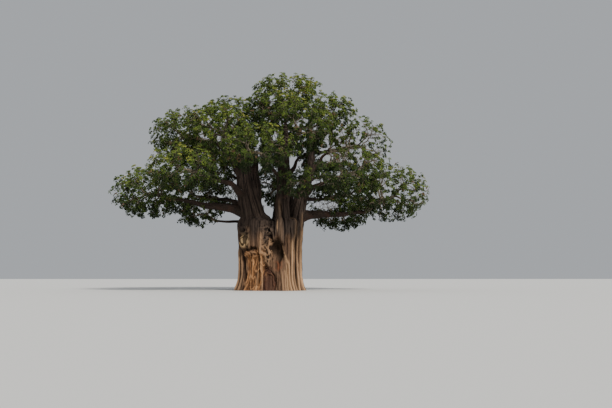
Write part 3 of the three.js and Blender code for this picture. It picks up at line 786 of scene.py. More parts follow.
class Shader:
    """A material with one Principled shader."""

    def __init__(self, name):
        self.material = bpy.data.materials.new(name)
        self.material.use_nodes = True
        self.nodes = self.material.node_tree.nodes
        self.links = self.material.node_tree.links
        self.surface = self.nodes["Principled BSDF"]

    def add(self, kind, settings=None, inputs=None):
        """A node with its settings, and the values or links of its sockets; returns its outputs."""
        node = self.nodes.new(kind)
        for key, value in (settings or {}).items():
            setattr(node, key, value)
        for key, value in (inputs or {}).items():
            self.put(node.inputs[key], value)
        return [Link(self, socket) for socket in node.outputs]

    def put(self, socket, value):
        """Joins a link to a socket, or sets the socket to a number or a colour."""
        if isinstance(value, Link):
            self.links.new(value.socket, socket)
        elif isinstance(value, tuple) and len(value) == 3 and socket.type == "RGBA":
            socket.default_value = (*value, 1.0)
        else:
            socket.default_value = value

    def grain(self, scale, detail, roughness, stretch=(1.0, 1.0, 1.0)):
        """Noise from 0 to 1 over the Object coordinates, each times its stretch."""
        coordinates = self.add("ShaderNodeTexCoord")[3]
        places = self.add("ShaderNodeMapping", None, {"Vector": coordinates, "Scale": stretch})[0]
        inputs = {"Vector": places, "Scale": scale, "Detail": detail, "Roughness": roughness}
        return self.add("ShaderNodeTexNoise", None, inputs)[0]

    def attribute(self, name):
        """A number that the mesh holds at each corner."""
        return self.add("ShaderNodeAttribute", {"attribute_name": name})[2]

    def blend(self, low, high, factor):
        """Colour low where the factor is 0 and high where it is 1."""
        settings = {"data_type": "RGBA"}  # whose two colours are the sockets 6 and 7
        return self.add("ShaderNodeMix", settings, {0: factor, 6: low, 7: high})[2]

    def bump(self, height, strength, distance):
        """A normal that leans with the slope of the height, which is drawn this many metres deep."""
        inputs = {"Strength": strength, "Distance": distance, "Height": height}
        return self.add("ShaderNodeBump", None, inputs)[0]

    def finish(self, colour, roughness, normal=None):
        """The material, with its colour, its roughness and a bump if there is one."""
        self.put(self.surface.inputs["Specular IOR Level"], DULL)
        self.put(self.surface.inputs["Base Color"], colour)
        self.put(self.surface.inputs["Roughness"], roughness)
        if normal:
            self.put(self.surface.inputs["Normal"], normal)
        return self.material


# %% [markdown]
# ## Bark finishes
# The sound bark is grey-brown, darkened partly as a painted shade of the crown, with painted shade in
# the creases of its folds and a painted highlight on their crests. Where it is stripped, orange-brown
# fibres run upright, the burr is pale and yellowish, the upper hollow and the shelf under the burr are
# painted nearly black as shade, and the arch at the foot shows dull red heartwood. The places were
# worked out with the relief, so the mesh carries them as numbers that the shader reads.

# %% The trunk's bark
# Grains: scale, detail, roughness and stretch
FIBRE_GRAIN = (9.0, 6.0, 0.7, (1.0, 1.0, 0.1))
BLOTCH_GRAIN = (1.2, 4.0, 0.6, (1.0, 1.0, 0.45))
KNOT_GRAIN = (4.0, 5.0, 0.6)
MIDDLE_CREST = 0.42
CREST_SHADE = 1.9
FIBRE_SHADE = 2.0
# The sound bark's dark colours are partly its own and partly a painted shade of the crown over the
# upper trunk and the stems
SOUND_DARK = (0.006, 0.004, 0.0035)
SOUND_PALE = (0.072, 0.050, 0.038)
WARM_DARK = (0.018, 0.009, 0.005)
WARM_PALE = (0.150, 0.086, 0.050)
TAN = (0.50, 0.305, 0.165)
FIBRE_DARK = (0.030, 0.012, 0.006)
FIBRE_PALE = (0.36, 0.165, 0.062)
BURR = (0.42, 0.285, 0.145)
# Nearly black: painted shade in the upper hollow and painted shadow under the burr's shelf
HOLLOW_SHADE = (0.018, 0.010, 0.005)
HEARTWOOD = (0.062, 0.028, 0.019)
EMBER = (0.26, 0.088, 0.04)


def trunk_bark(name):
    """Mixes the finishes by the numbers on the mesh, with fibres that are drawn out upright."""
    shader = Shader(name)
    fibres = shader.grain(*FIBRE_GRAIN)
    blotch = shader.grain(*BLOTCH_GRAIN)
    crest = shader.attribute("crest")
    # shade: the crest's painted highlight and painted shade, with the fibres' grain on top
    shade = ((crest - MIDDLE_CREST) * CREST_SHADE + (fibres - 0.5) * FIBRE_SHADE).clamp()
    sound = shader.blend(SOUND_DARK, SOUND_PALE, shade * (0.3 + blotch * 1.0))
    warm = shader.blend(WARM_DARK, WARM_PALE, shade * (0.6 + blotch * 0.7))
    colour = shader.blend(sound, warm, shader.attribute("warm"))
    strands = (shade * 0.6 + fibres.step(0.35, 0.7) * 0.5).clamp()
    bare = shader.blend(FIBRE_DARK, FIBRE_PALE, strands)
    layers = [
        # The mark on the mesh, its finish, and how it breaks up
        ("stripped", bare, 0.25 + blotch.step(0.3, 0.6) * 0.9),
        ("tan", TAN, 0.25 + fibres * 1.2),
        ("burr", BURR, 0.15 + shade),
        ("heartwood", HEARTWOOD, 1.0),
        ("ember", EMBER, 0.35 + fibres),
        ("hollow", HOLLOW_SHADE, 1.0),
    ]
    for mark, finish, breaks in layers:
        colour = shader.blend(colour, finish, (shader.attribute(mark) * breaks).clamp())
    knots = shader.grain(*KNOT_GRAIN)
    normal = shader.bump(fibres * 0.7 + knots * 0.3, 0.8, 0.09)
    return shader.finish(colour, 0.96 - shade * 0.12, normal)


# %% The finish of the boughs
# The boughs' colours are darkened all over as a painted shade of the crown
BOUGH_DARK = (0.004, 0.003, 0.0025)
BOUGH_PALE = (0.052, 0.036, 0.027)
BOUGH_RED = (0.07, 0.031, 0.021)
BOUGH_SCALES = (9.0, 5.0, 0.65)
BOUGH_PATCHES = (1.1, 4.0, 0.6)


def bough_bark():
    """Grey-brown bark, darkened as a painted shade of the crown, with a warmer, reddish tint in
    patches.
    """
    shader = Shader("bough_bark")
    scales = shader.grain(*BOUGH_SCALES)
    patches = shader.grain(*BOUGH_PATCHES)
    colour = shader.blend(BOUGH_DARK, BOUGH_PALE, (scales * 1.8 - 0.4).clamp())
    colour = shader.blend(colour, BOUGH_RED, patches.step(0.45, 0.7) * 0.4)
    return shader.finish(colour, 0.95 - scales * 0.12, shader.bump(scales, 0.7, 0.05))


bark = trunk_bark("trunk_bark")
stem_bark = trunk_bark("stem_bark")
limb_bark = bough_bark()
print("bark nodes", len(bark.node_tree.nodes), len(limb_bark.node_tree.nodes))

# %% The trunk's and the stems' meshes
SEAM = 5.75  # the height where the trunk's piece ends and the stems' piece begins


def add_numbers(mesh, name, values):
    """Stores one number for each corner of the mesh."""
    numbers = np.clip(values, 0, 1).astype(np.float32)
    mesh.attributes.new(name, "FLOAT", "POINT").data.foreach_set("value", numbers)


def keep_side(mesh, height, side):
    """Cuts the mesh level at a height, keeps what is above (1) or below (-1), and closes the cut."""
    edit = bmesh.new()
    edit.from_mesh(mesh)
    parts = edit.verts[:] + edit.edges[:] + edit.faces[:]
    bmesh.ops.bisect_plane(
        edit, geom=parts, plane_co=(0, 0, height), plane_no=(0, 0, side), clear_inner=True
    )
    rim = [edge for edge in edit.edges if edge.is_boundary]
    for face in bmesh.ops.contextual_create(edit, geom=rim)["faces"]:
        face.smooth = False
    for edge in rim:
        edge.smooth = False
    edit.to_mesh(mesh)
    edit.free()


mark_numbers = {
    # crest carries the painted light and shade of the relief, and the crown's painted shade on the
    # upper stems
    "crest": crest,
    "warm": warm,
    "stripped": stripped,
    "tan": tan,
    "burr": burr,
    "heartwood": arch * (0.62 - 0.3 * arch_rings + 0.5 * fine),
    "ember": ember + 0.15 * arch * np.clip(arch_rings, 0, 1),
    # hollow: the painted shade of the upper hollow, lighter on the ropes over it, and the painted
    # shadow under the burr's shelf
    "hollow": hollow * (0.55 + 0.5 * (1 - rope)) + 0.9 * shelf,
}
skin_mesh = new_mesh("trunk_skin", skin_points, [skin_faces])
for mark, values in mark_numbers.items():
    add_numbers(skin_mesh, mark, values)
stem_mesh = skin_mesh.copy()
stem_mesh.name = "stem_skin"
keep_side(skin_mesh, 0.0, 1)
keep_side(skin_mesh, SEAM, -1)
keep_side(stem_mesh, SEAM, 1)
new_piece(skin_mesh, ["trunk"], bark)
new_piece(stem_mesh, list(STEMS), stem_bark)
print("trunk", triangles(skin_mesh), "stems", triangles(stem_mesh), "triangles")

# %% [markdown]
# ## Masses and their boughs
# The crown is made of masses, each at the end of its own bough. The table gives each mass its stem,
# the height where its bough leaves, the bough's root radius, and where the mass stands and how big
# it is. A bough leaves its stem rising and levels out as it enters its mass. The lowest rise less,
# and two of them run out nearly level. A mass with no bough stands at the end of its stem.

# %% The table of masses
# Stem, height where the bough leaves, its root radius, then the mass: turn in degrees, distance out,
# height, half width and half height in metres
MASSES = {
    "left_low": ("left_stem", 6.5, 0.58, 184, 10.85, 8.7, 3.7, 2.75),
    "left_hanging": ("back_left_stem", 6.1, 0.2, 172, 6.6, 7.1, 2.7, 1.7),
    "front_left_low": ("left_stem", 7.9, 0.42, 224, 9.6, 10.1, 3.9, 2.4),
    "front_low": ("middle_stem", 8.6, 0.3, 263, 8.4, 11.5, 3.8, 2.4),
    "front_right_low": ("right_stem", 8.2, 0.4, 316, 9.0, 10.0, 4.0, 2.6),
    "right_low": ("right_stem", 6.45, 0.5, 358, 10.8, 8.75, 3.75, 2.95),
    "right_under": ("back_right_stem", 6.7, 0.3, 15, 6.6, 7.1, 3.25, 2.0),
    "back_right_low": ("back_right_stem", 7.2, 0.46, 43, 9.9, 9.3, 4.2, 2.7),
    "back_low": ("back_right_stem", 8.3, 0.4, 84, 9.4, 10.2, 4.2, 2.6),
    "back_left_low": ("back_left_stem", 7.2, 0.46, 137, 9.7, 9.2, 4.2, 2.7),
    "left_middle": ("left_stem", 9.6, 0.42, 185, 7.5, 13.8, 3.8, 2.8),
    "front_left_middle": ("left_stem", 10.6, 0.34, 232, 7.3, 13.3, 3.7, 2.7),
    "front_middle": ("middle_stem", 10.4, 0.27, 291, 6.6, 13.6, 3.7, 2.7),
    "right_middle": ("right_stem", 10.0, 0.36, 355, 7.5, 13.0, 3.7, 3.0),
    "back_right_middle": ("back_right_stem", 10.2, 0.34, 48, 7.6, 13.4, 3.9, 2.8),
    "back_middle": ("back_left_stem", 0, 0, 101, 6.5, 13.5, 3.8, 2.7),
    "back_left_middle": ("back_left_stem", 9.4, 0.36, 145, 7.5, 13.2, 3.8, 2.8),
    "upper_left": ("left_stem", 0, 0, 187, 3.6, 15.4, 3.6, 2.3),
    "crown_top": ("middle_stem", 0, 0, 335, 1.7, 17.2, 4.3, 2.45),
    "upper_right": ("right_stem", 0, 0, 355, 4.9, 15.5, 3.4, 2.7),
    "upper_front": ("middle_stem", 12.4, 0.2, 274, 4.2, 15.4, 3.1, 2.3),
    "upper_back": ("back_right_stem", 0, 0, 77, 4.0, 15.9, 3.4, 2.4),
    "inner_left": ("back_left_stem", 8.2, 0.26, 166, 5.1, 10.9, 2.5, 2.1),
    "inner_right": ("right_stem", 8.9, 0.26, 8, 5.4, 10.5, 2.6, 2.1),
    "inner_front": ("middle_stem", 7.7, 0.2, 297, 5.0, 9.3, 2.3, 1.8),
}
centres = {}
halves = {}
for name, (*_, turn, out, up, wide, tall) in MASSES.items():
    angle = math.radians(turn)
    centres[name] = np.array([out * math.cos(angle), out * math.sin(angle), up])
    halves[name] = np.array([wide, wide, tall])
print("masses", len(MASSES))

# %% The boughs' lines
BOUGH_POINTS = 44
BOUGH_COLLAR = 0.35
BOUGH_TAPER = 1.8
TIP_SHARE = 0.28  # of a bough's root radius at its tip
TIP_LEAST = 0.09  # metres
ENTRY = 0.62  # how far short of the mass's middle a bough ends, as a share of its half width
ENTRY_DROP = 0.22  # how far under the middle, as a share of its half height
LEVEL_BOUGHS = {"right_low": 0.6, "left_hanging": 0.5}  # these drop further and run out level
LEAVE = 0.33  # the length of the curve's first handle, as a share of the bough
ARRIVE = 0.3
CLIMB_LIMITS = (-0.2, 0.8)
CLIMB_LEAVE = 0.3
CLIMB_ARRIVE = 0.2
RISE = 0.16  # how much more a bough rises as it leaves, from the higher of these two heights
RISE_HEIGHTS = (6.2, 7.0)
BOUGH_WANDER = 0.03
PHASE_STEP = 1.7


def bough_line(name, index):
    """A curve from the stem's line outwards and up, which ends short of the mass's middle."""
    stem, at, *_, wide, tall = MASSES[name]
    line = stem_lines[stem]
    start = np.array([np.interp(at, line[:, 2], line[:, axis]) for axis in range(3)])
    outward = unit((centres[name] - start) * [1, 1, 0])
    drop = LEVEL_BOUGHS.get(name, ENTRY_DROP) * tall
    end = centres[name] - ENTRY * wide * outward - [0, 0, drop]
    length = float(np.linalg.norm(end - start))
    climb = float(np.clip((end[2] - start[2]) / length, *CLIMB_LIMITS))
    rise = RISE * float(smoothstep(*RISE_HEIGHTS, at)) + climb * CLIMB_LEAVE
    leave = start + outward * length * LEAVE + [0, 0, length * rise]
    arrive = end - outward * length * ARRIVE - [0, 0, length * climb * CLIMB_ARRIVE]
    wander = BOUGH_WANDER * length
    return limb_line(start, leave, arrive, end, wander, index * PHASE_STEP, BOUGH_POINTS)


bough_lines = {}
bough_radii = {}
along_bough = np.linspace(0, 1, BOUGH_POINTS)
for index, (name, (_, at, root, *_)) in enumerate(MASSES.items()):
    if at:
        bough_lines[name] = bough_line(name, index)
        tip = max(root * TIP_SHARE, TIP_LEAST)
        bough_radii[name] = limb_radius(root, tip, BOUGH_COLLAR, BOUGH_TAPER, along_bough)
print("boughs", len(bough_lines))

# %% The boughs' bark
BOUGH_SIDES = 22
LUMPS = 0.3  # how uneven a bough is, as a share of its radius
LUMP_CELL = 0.45


def lumpy(line, radius, seed):
    """Radius times (1 + two waves round and along + noise), at each corner of the tube."""
    angle = np.arange(BOUGH_SIDES) * 2 * np.pi / BOUGH_SIDES
    share = np.linspace(0, 1, len(line))[:, None]
    waves = 0.07 * np.cos(3 * angle + 9 * share + seed) + 0.05 * np.cos(5 * angle - 14 * share)
    rings = tubes(line[None], radius[None], BOUGH_SIDES)[0]
    bumps = noise(rings, LUMP_CELL, seed) - 0.5
    return (radius[:, None] * (1 + waves + LUMPS * bumps))[None]


for index, (name, line) in enumerate(bough_lines.items()):
    rings = tubes(line[None], lumpy(line, bough_radii[name], index), BOUGH_SIDES)
    corners, *face_sets = tube_faces(rings)
    mesh = new_mesh(name + "_bark", corners, face_sets)
    new_piece(mesh, [name + "_bough"], limb_bark)
print("bough pieces", len(bough_lines), "of", triangles(mesh), "triangles each")

# %% [markdown]
# ## Twigs
# Each mass keeps to its own space, an egg shape with flat walls towards its neighbours. The ends of
# its twigs are scattered over it by fixed steps, which spread evenly and are the same each time. The
# twigs then grow by one rule: from the bough's tip a stem runs part of the way to the middle of its
# ends, forks, and shares the ends out between its two arms, until a few are left.

# %% The spaces and their walls
REACH = 0.25  # metres by which leaves may stand out of the solids' box


def walls_of(name):
    """Flat walls between a mass and the others, each where the two half sizes meet."""
    normals, offsets = [], []
    for other in MASSES:
        if other == name:
            continue
        across = centres[other] - centres[name]
        normal = unit(across)
        reach = np.linalg.norm(halves[name] * normal)
        other_reach = np.linalg.norm(halves[other] * normal)
        share = reach / (reach + other_reach)
        normals.append(normal)
        offsets.append(normal @ centres[name] + share * np.linalg.norm(across))
    return np.array(normals), np.array(offsets)


mass_walls = {name: walls_of(name) for name in MASSES}


def inside(name, points, margin, wall_margin):
    """True where a point lies in the mass's space, with margins, and near the solids' box."""
    in_egg = (((points - centres[name]) / (halves[name] - margin)) ** 2).sum(axis=-1) <= 1
    in_box = (points > np.array(cad_low) - REACH) & (points < np.array(cad_high) + REACH)
    normals, offsets = mass_walls[name]
    in_walls = points @ normals.T <= offsets - wall_margin
    return in_egg & in_box.all(axis=-1) & in_walls.all(axis=-1)


limb_points = np.concatenate([*stem_lines.values(), *bough_lines.values()])
limb_sizes = np.concatenate([*stem_radii.values(), *bough_radii.values()])
BATCH = 2000  # points tested at once, to spare memory


def clear_of_limbs(points, margin):
    """True where a point lies further than the margin from every limb's surface."""
    clear = np.ones(len(points), bool)
    for start in range(0, len(points), BATCH):
        part = points[start : start + BATCH]
        gaps = np.linalg.norm(part[:, None] - limb_points[None], axis=-1) - limb_sizes
        clear[start : start + BATCH] = gaps.min(axis=1) > margin
    return clear


print("limb points", len(limb_points))

# %% [markdown]
# The crown is open in places: sky shows through the fork, over the lower boughs on the right and
# high up beside the middle stem. Those windows lie on the lines of sight, so twigs and rosettes are
# tested where they appear from the camera, on the upright plane through the trunk. Elsewhere the
# leaves are only thin, and single leaves are taken out where a noise of small cells is high.

# %% Windows in the leaves
# Middle and half sizes, across and up, on the plane through the trunk, and how far back the window
# reaches, in metres. The last one shows the middle stem between leaves, with leaves behind it.
WINDOWS = [
    (-1.5, 10.8, 0.42, 0.6, 20),
    (-0.6, 9.7, 0.4, 0.3, 20),
    (-0.35, 6.95, 0.55, 0.62, 20),
    (-0.9, 7.9, 0.3, 0.35, 20),
    (1.95, 11.3, 0.5, 0.8, 20),
    (5.1, 12.0, 0.8, 0.45, 20),
    (4.2, 9.7, 0.65, 0.4, 20),
    (4.9, 7.65, 1.2, 0.5, 20),
    (6.1, 10.6, 0.3, 0.25, 20),
    (0.3, 13.8, 0.3, 0.45, 20),
    (4.0, 14.7, 0.4, 0.4, 20),
    (1.35, 14.1, 0.3, 1.3, -1),
]
# Where the leaves are thin: middle and half sizes, across and up, and the share that is left there
THIN = [
    (7.6, 13.2, 4.6, 2.9, 0.47),
    (11.4, 8.8, 3.6, 3.2, 0.62),
    (-5.2, 14.6, 2.6, 2.1, 0.64),
    (-9.1, 8.2, 2.4, 1.3, 0.7),
    (-5.8, 6.7, 2.4, 1.8, 0.72),
    (2.3, 15.1, 1.8, 1.7, 0.64),
]
THIN_CELL = 0.27  # metres


def seen(points):
    """Where points appear from the camera on the upright plane through the trunk: across, up."""
    eye = np.array(CAMERA_PLACE)
    shrink = -eye[1] / (points[:, 1] - eye[1])
    return eye[0] + (points[:, 0] - eye[0]) * shrink, eye[2] + (points[:, 2] - eye[2]) * shrink


def in_window(points):
    """True where a point appears from the camera in a window."""
    across, up = seen(points)
    hit = np.zeros(len(points), bool)
    for x, z, half_x, half_z, back in WINDOWS:
        open_here = ((across - x) / half_x) ** 2 + ((up - z) / half_z) ** 2 < 1
        hit |= open_here & (points[:, 1] < back)
    return hit


def in_gap(points):
    """True where a point appears from the camera in a gap of the thin places."""
    across, up = seen(points)
    hit = np.zeros(len(points), bool)
    speck = noise(np.stack([across, 0 * across, up], axis=-1), THIN_CELL, 41.0)
    for x, z, half_x, half_z, left in THIN:
        depth = np.clip(2 - 2 * np.hypot((across - x) / half_x, (up - z) / half_z), 0, 1)
        hit |= speck > 1 - depth * (1 - left)
    return hit


print("windows", len(WINDOWS))

# %% Twig ends
ENDS = 200  # for a mass of the mean size
MEAN_VOLUME = 3.7 * 3.7 * 2.6  # of the three half sizes multiplied
TRIES = 8  # for each end that is wanted
SCATTER_STEPS = np.array([0.8191725134, 0.6710436067, 0.5497004779])
SEED_STEP = 0.37
DEEPEST = 0.3  # of the way from a mass's middle to its surface
DEPTH_RANGE = 0.66
END_SPACING = 0.62
END_MARGIN = 0.2  # under the egg's surface
END_WALL_MARGIN = 0.05
END_LIMB_MARGIN = 0.25
SAG = 0.22  # how far the ends of the lowest masses are pushed down their eggs
LOWEST_ENDS = 1.25  # times as many ends in those masses
LOWEST = ["left_low", "left_hanging", "right_low", "right_under"]


def twig_ends(name, seed):
    """Ends = centre + half sizes · direction · depth, kept if apart, inside and clear."""
    more = LOWEST_ENDS if name in LOWEST else 1
    wanted = int(ENDS * np.prod(halves[name]) / MEAN_VOLUME * more)
    steps = np.arange(wanted * TRIES)[:, None] * SCATTER_STEPS
    numbers = (0.5 + seed * SEED_STEP + steps) % 1.0
    z = 2 * numbers[:, 0] - 1
    if name in LOWEST:
        z = z - SAG * (1 - z * z)
    flat = np.sqrt(1 - z * z)
    turn = 2 * np.pi * numbers[:, 1]
    direction = np.stack([flat * np.cos(turn), flat * np.sin(turn), z], axis=-1)
    depth = DEEPEST + DEPTH_RANGE * np.cbrt(numbers[:, 2:])
    points = centres[name] + direction * halves[name] * depth
    fits = inside(name, points, END_MARGIN, END_WALL_MARGIN) & ~in_window(points)
    fits = fits & clear_of_limbs(points, END_LIMB_MARGIN)
    kept = np.empty((0, 3))
    for point in points[fits]:
        if len(kept) >= wanted:
            break
        if not len(kept) or np.linalg.norm(kept - point, axis=1).min() > END_SPACING:
            kept = np.vstack([kept, point])
    return kept


ends_of = {name: twig_ends(name, seed) for seed, name in enumerate(MASSES)}
print("twig ends", {name: len(ends) for name, ends in ends_of.items()})

# %% Fork and share
TWIG_RADIUS = 0.017  # of a twig with one end; a twig with n ends has the root of n times this
FORK_STEP = 0.42  # of the way from a fork to the middle of its ends
LAST_FORK = 3  # the number of ends at which a twig stops halving them
ARM_TAPER = 0.85
LAST_ARM_TAPER = 0.8
END_TAPER = 0.45
TIP_INSET = 0.08  # of the first twig into its bough


def grow(start, ends, segments):
    """Segments (from, to, start radius, end radius, leafy): fork, halve the ends, fork again."""
    waiting = [(start, ends)]
    while waiting:
        base, group = waiting.pop()
        radius = TWIG_RADIUS * math.sqrt(len(group))
        fork = base + (group.mean(axis=0) - base) * FORK_STEP
        if len(group) <= LAST_FORK:
            segments.append((base, fork, radius, radius * LAST_ARM_TAPER, False))
            segments += [(fork, end, TWIG_RADIUS, TWIG_RADIUS * END_TAPER, True) for end in group]
            continue
        segments.append((base, fork, radius, radius * ARM_TAPER, False))
        axis = int(np.argmax(np.ptp(group, axis=0)))
        order = group[np.argsort(group[:, axis])]
        half = (len(order) + 1) // 2
        waiting += [(fork, order[:half]), (fork, order[half:])]


segments_of = {name: [] for name in MASSES}
for name, (stem, *_) in MASSES.items():
    line = bough_lines.get(name, stem_lines[stem])
    inset = unit(line[-1] - line[-2]) * TIP_INSET
    grow(line[-1] - inset, ends_of[name], segments_of[name])
print("twig segments", sum(len(segments) for segments in segments_of.values()))

# %% [markdown]
# ## Leaves
# A baobab leaf is a hand of five leaflets on a stalk, and the leaves stand in rosettes at the ends
# of short spurs. One rosette is made once, as a pattern of a few faces, and copied by arrays to
# thousands of places. Four patterns, turned and sized at random from a fixed seed, keep it from
# looking stamped.

# %% One rosette
LEAVES = 4
LEAFLETS = 5
STALK = 0.115
LEAFLET_LENGTH = 0.128
LEAFLET_WIDTH = 0.067
LEAFLET_SHARES = np.array([0.72, 0.92, 1.0, 0.92, 0.72])  # of the longest leaflet's length
WIDEST_AT = 0.6  # of a leaflet's length
LEAFLET_ARCH = 0.012  # how far its widest place stands up
TIP_DROP = 0.03
FAN = 78  # degrees to each side
DROOP = (8, 62)  # degrees
LEAF_SIZES = (0.8, 1.15)
LEAF_TURNS = (-0.35, 0.35)  # radians off an even spacing
HEART = 0.05  # the height of the leaves' feet over the twig
PATTERNS = 4
random = np.random.default_rng(7)


def turned(first, second, angle):
    """Two coordinates turned by an angle for each leaf: (a cos - b sin, a sin + b cos)."""
    cosine = np.cos(angle)[:, None, None]
    sine = np.sin(angle)[:, None, None]
    return first * cosine - second * sine, first * sine + second * cosine


def rosette(seed):
    """Leaflet corners, four to each: its foot, its two sides where it is widest, and its tip."""
    pick = np.random.default_rng(seed)
    turn = np.arange(LEAVES) * 2 * np.pi / LEAVES + pick.uniform(*LEAF_TURNS, LEAVES)
    droop = np.radians(pick.uniform(*DROOP, LEAVES))
    size = pick.uniform(*LEAF_SIZES, LEAVES)
    fan = np.radians(np.linspace(-FAN, FAN, LEAFLETS))
    length = LEAFLET_LENGTH * LEAFLET_SHARES[:, None]
    ahead = np.stack([np.cos(fan), np.sin(fan), np.zeros(LEAFLETS)], axis=-1)
    beside = np.stack([-np.sin(fan), np.cos(fan), np.zeros(LEAFLETS)], axis=-1)
    widest = ahead * length * WIDEST_AT + [0, 0, LEAFLET_ARCH]
    width = beside * LEAFLET_WIDTH / 2
    tip = ahead * length - [0, 0, TIP_DROP]
    leaf = np.stack([ahead * 0.0, widest - width, tip, widest + width], axis=1) + [STALK, 0, 0]
    out, across, up = np.moveaxis(leaf[None] * size[:, None, None, None], -1, 0)
    up, out = turned(up, out, droop)
    x, y = turned(out, across, turn)
    return np.stack([x, y, up + HEART], axis=-1).reshape(-1, 3)


patterns = np.stack([rosette(seed) for seed in range(PATTERNS)])
print("rosette", patterns.shape[1] // 2, "triangles, reach", round(float(np.abs(patterns).max()), 2))

# %% Rosettes along the twigs
ROSETTES_ON_TWIG = 5
SPUR = 0.18
SPUR_SIZES = (0.7, 0.9)  # the least, and how much chance adds
SPUR_LEAN = 0.55  # how far a spur leans along its twig
BACK_STEP = 0.17  # between the rosettes along a twig
BACK_SIZES = (0.8, 0.4)
GOLDEN = math.radians(137.5)
TWIG_TURN = 1.3  # radians from one twig's first spur to the next one's
LEVEL = np.array([0.31, 0.17, 0.94])  # no twig runs this way, so it gives each one a side
# How far a rosette's axis follows its spur, the way out of the mass, and upright
AXIS_SPUR = 0.6
AXIS_OUT = 0.5
AXIS_UP = 0.55
ROSETTE_MARGIN = 0.12


def rosettes_of(name, seed):
    """Places, axes and spur feet: one at each twig's end, others round it on spurs further back."""
    segments = [segment for segment in segments_of[name] if segment[4]]
    start = np.array([segment[0] for segment in segments])
    end = np.array([segment[1] for segment in segments])
    along = unit(end - start)
    side = unit(np.cross(along, LEVEL))
    other = np.cross(along, side)
    places, axes, feet = [end], [along], [end]
    for step in range(1, ROSETTES_ON_TWIG):
        turn = seed + np.arange(len(end)) * TWIG_TURN + step * GOLDEN
        out = np.cos(turn)[:, None] * side + np.sin(turn)[:, None] * other
        direction = unit(along * SPUR_LEAN + out)
        back = BACK_SIZES[0] + BACK_SIZES[1] * random.random((len(end), 1))
        foot = end - along * BACK_STEP * step * back
        reach = SPUR * (SPUR_SIZES[0] + SPUR_SIZES[1] * random.random((len(end), 1)))
        places.append(foot + direction * reach)
        axes.append(direction)
        feet.append(foot)
    places, axes, feet = (np.concatenate(part) for part in (places, axes, feet))
    outward = unit((places - centres[name]) / halves[name])
    axes = unit(axes * AXIS_SPUR + outward * AXIS_OUT + [0, 0, AXIS_UP])
    fits = inside(name, places, ROSETTE_MARGIN, -ROSETTE_MARGIN) & ~in_window(places)
    fits = fits & clear_of_limbs(places, ROSETTE_MARGIN)
    return places[fits], axes[fits], feet[fits]


rosette_rows = {name: rosettes_of(name, seed) for seed, name in enumerate(MASSES)}
print("rosettes", sum(len(row[0]) for row in rosette_rows.values()))

# %% [markdown]
# ## Leaf colours
# From a distance the crown is a dark olive green in its shade and yellow-green on top, where the light
# falls. Each rosette takes one of five green tints, dealt out by how high and how far out it stands in
# its mass, with some chance, and a few take a dry brown one. The greens are painted light and shade:
# the lighter tints on top and outside are a painted highlight, the deeper ones inside and underneath
# are painted shade, and the chance adds the leaves' own uneven tone. Within a tint the colour still
# wanders between two close ones over the crown.

# %% Leaf materials
# Five greens from a painted deep shade to a painted sunlit highlight, and the leaves' own dry brown
TINTS = {
    "leaf_deep": ((0.008, 0.017, 0.004), (0.018, 0.035, 0.008)),
    "leaf_dark": ((0.023, 0.043, 0.009), (0.040, 0.070, 0.013)),
    "leaf_middle": ((0.050, 0.084, 0.013), (0.080, 0.119, 0.020)),
    "leaf_lit": ((0.101, 0.144, 0.020), (0.143, 0.190, 0.030)),
    "leaf_highlight": ((0.195, 0.215, 0.035), (0.275, 0.280, 0.055)),
    "leaf_dry": ((0.090, 0.050, 0.028), (0.160, 0.100, 0.050)),
}
DRY = 5  # the dry tint's place among them
DRY_SHARE = 0.02
DRIFT_GRAIN = (0.8, 2.0, 0.5)  # scale, detail, roughness
SPECKLE_GRAIN = (14.0, 2.0, 0.5)
TWIG_GRAIN = (6.0, 3.0, 0.6)
TWIG_DARK = (0.042, 0.034, 0.024)
TWIG_PALE = (0.225, 0.190, 0.132)


def leaf_material(name, low, high):
    """A satin leaf whose colour wanders between two close tints."""
    shader = Shader(name)
    drift = shader.grain(*DRIFT_GRAIN)
    speckle = shader.grain(*SPECKLE_GRAIN)
    colour = shader.blend(low, high, (drift * 0.6 + speckle * 0.6).clamp())
    return shader.finish(colour, 0.5 + speckle * 0.2)


def twig_material():
    """Thin grey-brown bark, paler in places."""
    shader = Shader("twig_bark")
    scales = shader.grain(*TWIG_GRAIN)
    colour = shader.blend(TWIG_DARK, TWIG_PALE, (scales * 2.4 - 0.7).clamp())
    return shader.finish(colour, 0.85 + scales * 0.1)


leaf_materials = [leaf_material(name, *tints) for name, tints in TINTS.items()]
twig_bark = twig_material()
print("leaf tints", len(leaf_materials))

# %% [markdown]
# ## Join the leaves and twigs
# Each of the masses has leaves and twigs, which would make many small objects, so neighbouring masses
# are joined: the leaves in one piece, the twigs in another. Single leaves that fall in a gap of the
# thin places are left out here, after each rosette has its tint.

# %% Groups of masses
ROSETTE_SIZES = (0.82, 1.16)
GROUPS = {
    "left": ["left_low", "left_hanging", "left_middle", "front_left_low", "inner_left"],
    "right": ["right_low", "right_under", "right_middle", "front_right_low", "inner_right"],
    "front": ["front_low", "front_middle", "front_left_middle", "upper_front", "inner_front"],
    "top": ["upper_left", "upper_right", "crown_top", "upper_back"],
    "back_lower": ["back_right_low", "back_low", "back_left_low"],
    "back_upper": ["back_right_middle", "back_middle", "back_left_middle"],
}


def turned_patterns(axes):
    """The pattern of each rosette turned so that its upright follows the axis, and sized."""
    count = len(axes)
    spin = random.uniform(0, 2 * np.pi, count)
    flat = unit(np.cross(axes, np.stack([np.cos(spin), np.sin(spin), 0 * spin], axis=-1)))
    frames = np.stack([flat, np.cross(axes, flat), axes], axis=1)
    chosen = patterns[random.integers(0, PATTERNS, count)]
    size = random.uniform(*ROSETTE_SIZES, (count, 1, 1))
    return np.einsum("nvi,nij->nvj", chosen * size, frames)


